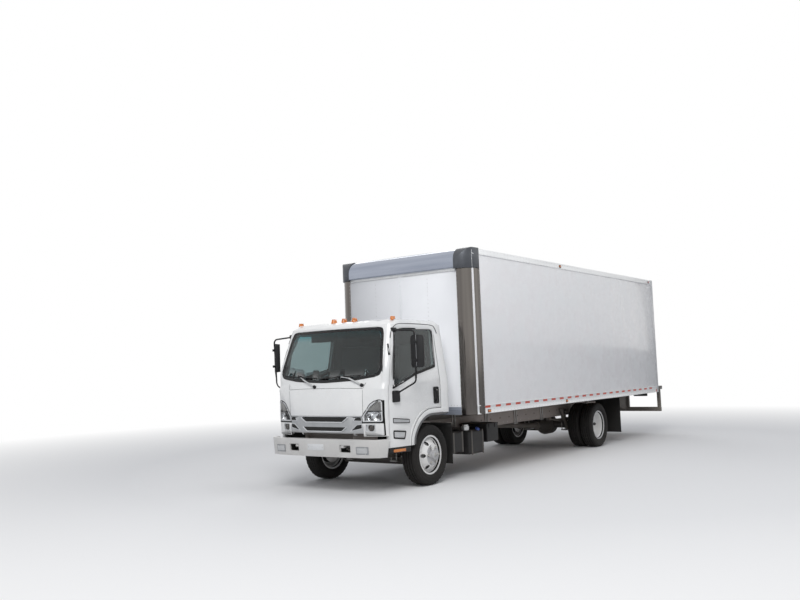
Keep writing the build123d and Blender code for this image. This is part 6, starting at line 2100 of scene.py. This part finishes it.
def make_seats():
    """Three seats, each with a base, a cushion and a back, and headrests on the two outer seats."""
    bases = []
    bars = []
    welts = []
    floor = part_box("seats")[0][2]
    for word, near, far in SEAT_PLACES:
        centre = (near + far) / 2
        low, high = (3.5, near + 0.01, 1.226), (3.856, far - 0.01, 1.316)
        make_pad(f"Seat cushion {word}", low, high, seat_cloth, (3.6, 3.7, 3.79))
        welts.append(make_welt(low, high, 2, False))
        low, high = (3.418, near + 0.014, 1.322), (3.494, far - 0.014, 1.745)
        make_pad(f"Seat back {word}", low, high, seat_cloth, (1.42, 1.52, 1.62), True, 0)
        welts.append(make_welt(low, high, 0, True))
        if word != "middle":
            low, high = (3.418, centre - 0.135, 1.782), (3.478, centre + 0.135, 1.918)
            make_pad(f"Headrest {word}", low, high, seat_cloth, (), True, 0)
            for y in (centre - 0.055, centre + 0.055):
                bars.append(lean_back(rod((3.446, y, 1.7), (3.446, y, 1.8), 0.006, 0, 12)))
        bases.append(block((3.47, near + 0.006, 1.196), (3.85, far - 0.006, 1.228), 0.01))
        bases.append(block((3.475, centre - 0.15, floor), (3.805, centre + 0.15, 1.2), 0.012))
        for inset, low, deep, high, edge in (
            (0.008, 1.205, 3.418, 1.742, 0.008), (0.006, 1.196, 3.5, 1.236, 0.01),
        ):
            shell = block((3.398, near + inset, low), (deep, far - inset, high), edge)
            bases.append(lean_back(shell))
    base = join(bases)
    settle(base, "Seat bases", black_plastic, "cab")
    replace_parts(base, "seats")
    settle(join(bars), "Headrest bars", machined_steel, "cab")
    settle(join(welts), "Seat welts", seat_piping, "cab")


make_seats()


# Dashboard and cabin details
def dress_dashboard():
    """Instrument hood and dials, vents, blank radio face, knobs and gear selector."""
    hood = block((4.33, 0.34, 1.385), (4.47, 0.7, 1.432), 0.018, 4)
    settle(hood, "Instrument hood", trim_grey, "cab")
    face = block((4.298, 0.365, 1.3), (4.316, 0.675, 1.4), 0.006)
    settle(face, "Instrument panel", black_plastic, "cab")
    rims = []
    dials = []
    marks = []
    for y, radius in ((0.445, 0.043), (0.56, 0.043), (0.638, 0.026)):
        centre = Vector((4.297, y, 1.352))
        rim = [(radius, 0.0), (radius, 0.004), (radius - 0.004, 0.005), (radius - 0.005, 0.0)]
        rims.append(turned(rim, centre, (-1, 0, 0)))
        dials.append(rod(centre, centre - Vector((0.001, 0, 0)), radius - 0.004, 0, 32))
        for step in range(-4, 5):
            turn = radians(step * 30)
            out = Vector((0, sin(turn), cos(turn)))
            tip = centre - Vector((0.0012, 0, 0)) + out * (radius - 0.007)
            marks.append(rod(tip, tip - out * 0.006, 0.0009, 0, 6))
        hub = centre - Vector((0.002, 0, 0))
        marks.append(rod(hub, hub - Vector((0, 0.6 * radius, 0.4 * radius)), 0.001, 0, 6))
    settle(join(rims), "Dial rims", machined_steel, "cab")
    settle(join(dials), "Dial faces", dial_face, "cab")
    settle(join(marks), "Dial marks", dial_mark, "cab")
    vents = []
    slats = []
    for y in (-0.8, -0.11, 0.11, 0.8):
        vents.append(block((4.288, y - 0.05, 1.29), (4.32, y + 0.05, 1.35), 0.006))
        for z in (1.3, 1.312, 1.324, 1.336):
            slats.append(block((4.282, y - 0.044, z), (4.292, y + 0.044, z + 0.003), 0.001))
    settle(join(vents), "Dash vents", black_plastic, "cab")
    settle(join(slats), "Dash vent slats", trim_grey, "cab")
    radio = block((4.276, -0.095, 1.215), (4.3, 0.095, 1.272), 0.004)
    settle(radio, "Blank radio face", gloss_black, "cab")
    knobs = [rod((4.276, y, 1.243), (4.262, y, 1.243), 0.011, 0.002, 24) for y in (-0.075, 0.075)]
    knobs += [
        rod((4.286, y, 1.185), (4.268, y, 1.185), 0.016, 0.002, 24) for y in (-0.06, 0.0, 0.06)
    ]
    settle(join(knobs), "Dash knobs", black_plastic, "cab")
    line = [(4.29, 0.15, 1.18), (4.25, 0.15, 1.215), (4.205, 0.15, 1.29)]
    lever = pipe(line, 0.009, sides=3)
    ball = block((4.182, 0.128, 1.276), (4.222, 0.172, 1.322), 0.014, 4)
    settle(join([lever, ball]), "Gear selector", black_plastic, "cab")


dress_dashboard()


def dress_steering():
    """The steering wheel's boss, and the stalks behind it."""
    tilt = radians(32)
    axis = Vector((-sin(tilt), 0, cos(tilt)))
    centre = Vector((4.195, 0.52, 1.4))
    boss = turned(
        [(0.0, 0.004), (0.052, 0.004), (0.062, -0.006), (0.064, -0.026), (0.0, -0.03)],
        centre + axis * 0.004, axis, 0.002, 40,
    )
    settle(boss, "Steering wheel boss", trim_grey, "steering_wheel")
    stalks = [
        rod(
            centre - axis * 0.05 + Vector((0, side * 0.03, 0)),
            centre - axis * 0.04 + Vector((-0.02, side * 0.17, 0.02)), 0.006, 0.002, 12,
        )
        for side in (1, -1)
    ]
    settle(join(stalks), "Steering stalks", black_plastic, "cab")


dress_steering()


def dress_cabin(side, word):
    """A sun visor, and a door's armrest with the pocket below it."""
    y = side * 0.44
    visor = block((4.215, y - 0.24, 1.985), (4.233, y + 0.24, 2.105), 0.008, 3)
    settle(visor, f"Sun visor {word}", lining_with_painted_shade, "cab")
    rest = block((3.7, side * 0.905, 1.185), (4.14, side * 0.95, 1.235), 0.012, 3)
    pocket = block((3.75, side * 0.92, 1.0), (4.25, side * 0.95, 1.11), 0.01)
    settle(join([rest, pocket]), f"Door armrest {word}", trim_grey, f"door_{word}")


on_both_sides(dress_cabin)


# The cab's front corners are rounder than the CAD's, and the door windows reach higher
def eased(value):
    """A smooth step from 0 to 1."""
    value = max(0.0, min(1.0, value))
    return value * value * (3 - 2 * value)


def round_cab_corners(place):
    """Draws the front corners of the cab in and back, below the windshield."""
    along = eased((place.x - 4.12) / 0.58)
    aside = max(0.0, min(1.0, (abs(place.y) - 0.3) / 0.65)) ** 2
    height = 1 - eased((place.z - 1.25) / 0.4)
    share = along * aside * height
    side = 1 if place.y > 0 else -1
    place.x -= 0.066 * share
    place.y -= 0.058 * share * side


def raise_window(place):
    """Moves the upper edge of a door window up, and its upper rear corner back."""
    if place.z > 1.9:
        if place.z < 2.035:
            lift = (place.z - 1.9) / 0.135 * 0.05
        else:
            lift = max(0.0, (2.122 - place.z) / 0.087) * 0.05
        side = 1 if place.y > 0 else -1
        place.z += lift
        place.y -= side * lift * 0.1
    if place.x < 3.95:
        height = eased((place.z - 1.55) / 0.45)
        near = (place.x - 3.485) / 0.08 if place.x < 3.565 else (3.95 - place.x) / 0.385
        place.x -= 0.045 * height * max(0.0, min(1.0, near))


def shape_cab():
    """Rounds the front corners of every piece of the cab and its doors, raises the windows on the
    door pieces, and makes the outer roof lamps taller.
    """
    for piece in list(bpy.data.objects):
        if piece.type != "MESH" or piece.hide_render:
            continue
        body = piece.get("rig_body")
        if body not in ("cab", "door_left", "door_right"):
            continue
        for vertex in piece.data.vertices:
            if body != "cab" and not piece.name.startswith(("Drip", "Mirror")):
                raise_window(vertex.co)
            round_cab_corners(vertex.co)
        piece.data.update()
    lamps = bpy.data.objects["Roof_marker_lamps"].data.vertices
    outer = [vertex.co for vertex in lamps if abs(vertex.co.y) > 0.7]
    foot = min(place.z for place in outer)
    for place in outer:
        place.z = foot + (place.z - foot) * 1.45
        place.y += 0.028 if place.y > 0 else -0.028


shape_cab()


# Floor, light and white surroundings
def lay_floor():
    """A plain pale floor that keeps the truck's shadow and otherwise shows as white."""
    let_go()
    bpy.ops.mesh.primitive_plane_add(size=400)
    floor = bpy.context.object
    floor.name = "Studio floor"
    material = bpy.data.materials.new("Studio floor")
    material.use_nodes = True
    tree = material.node_tree
    shader = tree.nodes["Principled BSDF"]
    shader.inputs["Base Color"].default_value = (0.8, 0.8, 0.8, 1)
    shader.inputs["Roughness"].default_value = 0.9
    place = put(tree, "TexCoord").outputs["Object"]
    reach = put(tree, "VectorMath", {0: place}, operation="LENGTH")
    far = put(tree, "MapRange", {0: reach.outputs["Value"], 1: 6.5, 2: 15.0})
    seen = put(tree, "LightPath").outputs["Is Camera Ray"]
    share = put(tree, "Math", {0: far.outputs[0], 1: seen}, operation="MULTIPLY")
    white = put(tree, "Emission", {"Color": (1, 1, 1, 1), "Strength": 1.0})
    mix = put(tree, "MixShader", {0: share.outputs[0], 1: shader.outputs[0], 2: white.outputs[0]})
    end = next(node for node in tree.nodes if node.type == "OUTPUT_MATERIAL")
    tree.links.new(mix.outputs[0], end.inputs["Surface"])
    floor.data.materials.append(material)


def light_studio():
    """Large soft lamps, and a world that the camera and the reflections see as white."""
    world = bpy.data.worlds.new("Studio")
    bpy.context.scene.world = world
    world.use_nodes = True
    tree = world.node_tree
    tree.nodes.clear()
    way = put(tree, "LightPath")
    seen = put(
        tree, "Math", {0: way.outputs["Is Camera Ray"], 1: way.outputs["Is Glossy Ray"]},
        operation="MAXIMUM",
    )
    seen = put(
        tree, "Math", {0: seen.outputs[0], 1: way.outputs["Is Transmission Ray"]},
        operation="MAXIMUM",
    )
    shade = put(tree, "Background", {"Color": (0.9, 0.93, 1.0, 1), "Strength": 0.42})
    white = put(tree, "Background", {"Color": (1, 1, 1, 1), "Strength": 1.0})
    mix = put(tree, "MixShader", {0: seen.outputs[0], 1: shade.outputs[0], 2: white.outputs[0]})
    end = put(tree, "OutputWorld")
    tree.links.new(mix.outputs[0], end.inputs["Surface"])
    for name, place, aim, size, watts in (
        ("Key lamp", (14.0, 7.0, 12.0), (0.5, 0.0, 1.6), 9.0, 1400.0),
        ("Side lamp", (-6.0, 15.0, 9.0), (-2.5, 0.0, 1.5), 9.0, 110.0),
        ("Top lamp", (1.0, 2.0, 10.5), (1.0, 0.0, 2.0), 5.0, 160.0),
        ("Back lamp", (-12.0, -10.0, 11.0), (0.0, 0.0, 1.5), 9.0, 480.0),
    ):
        lamp = bpy.data.objects.new(name, bpy.data.lights.new(name, "AREA"))
        lamp.data.shape = "DISK"
        lamp.data.size = size
        lamp.data.energy = watts
        lamp.location = place
        lamp.rotation_euler = (Vector(aim) - Vector(place)).to_track_quat("-Z", "Y").to_euler()
        bpy.context.scene.collection.objects.link(lamp)
    bpy.context.scene.view_settings.view_transform = "Standard"


lay_floor()
light_studio()
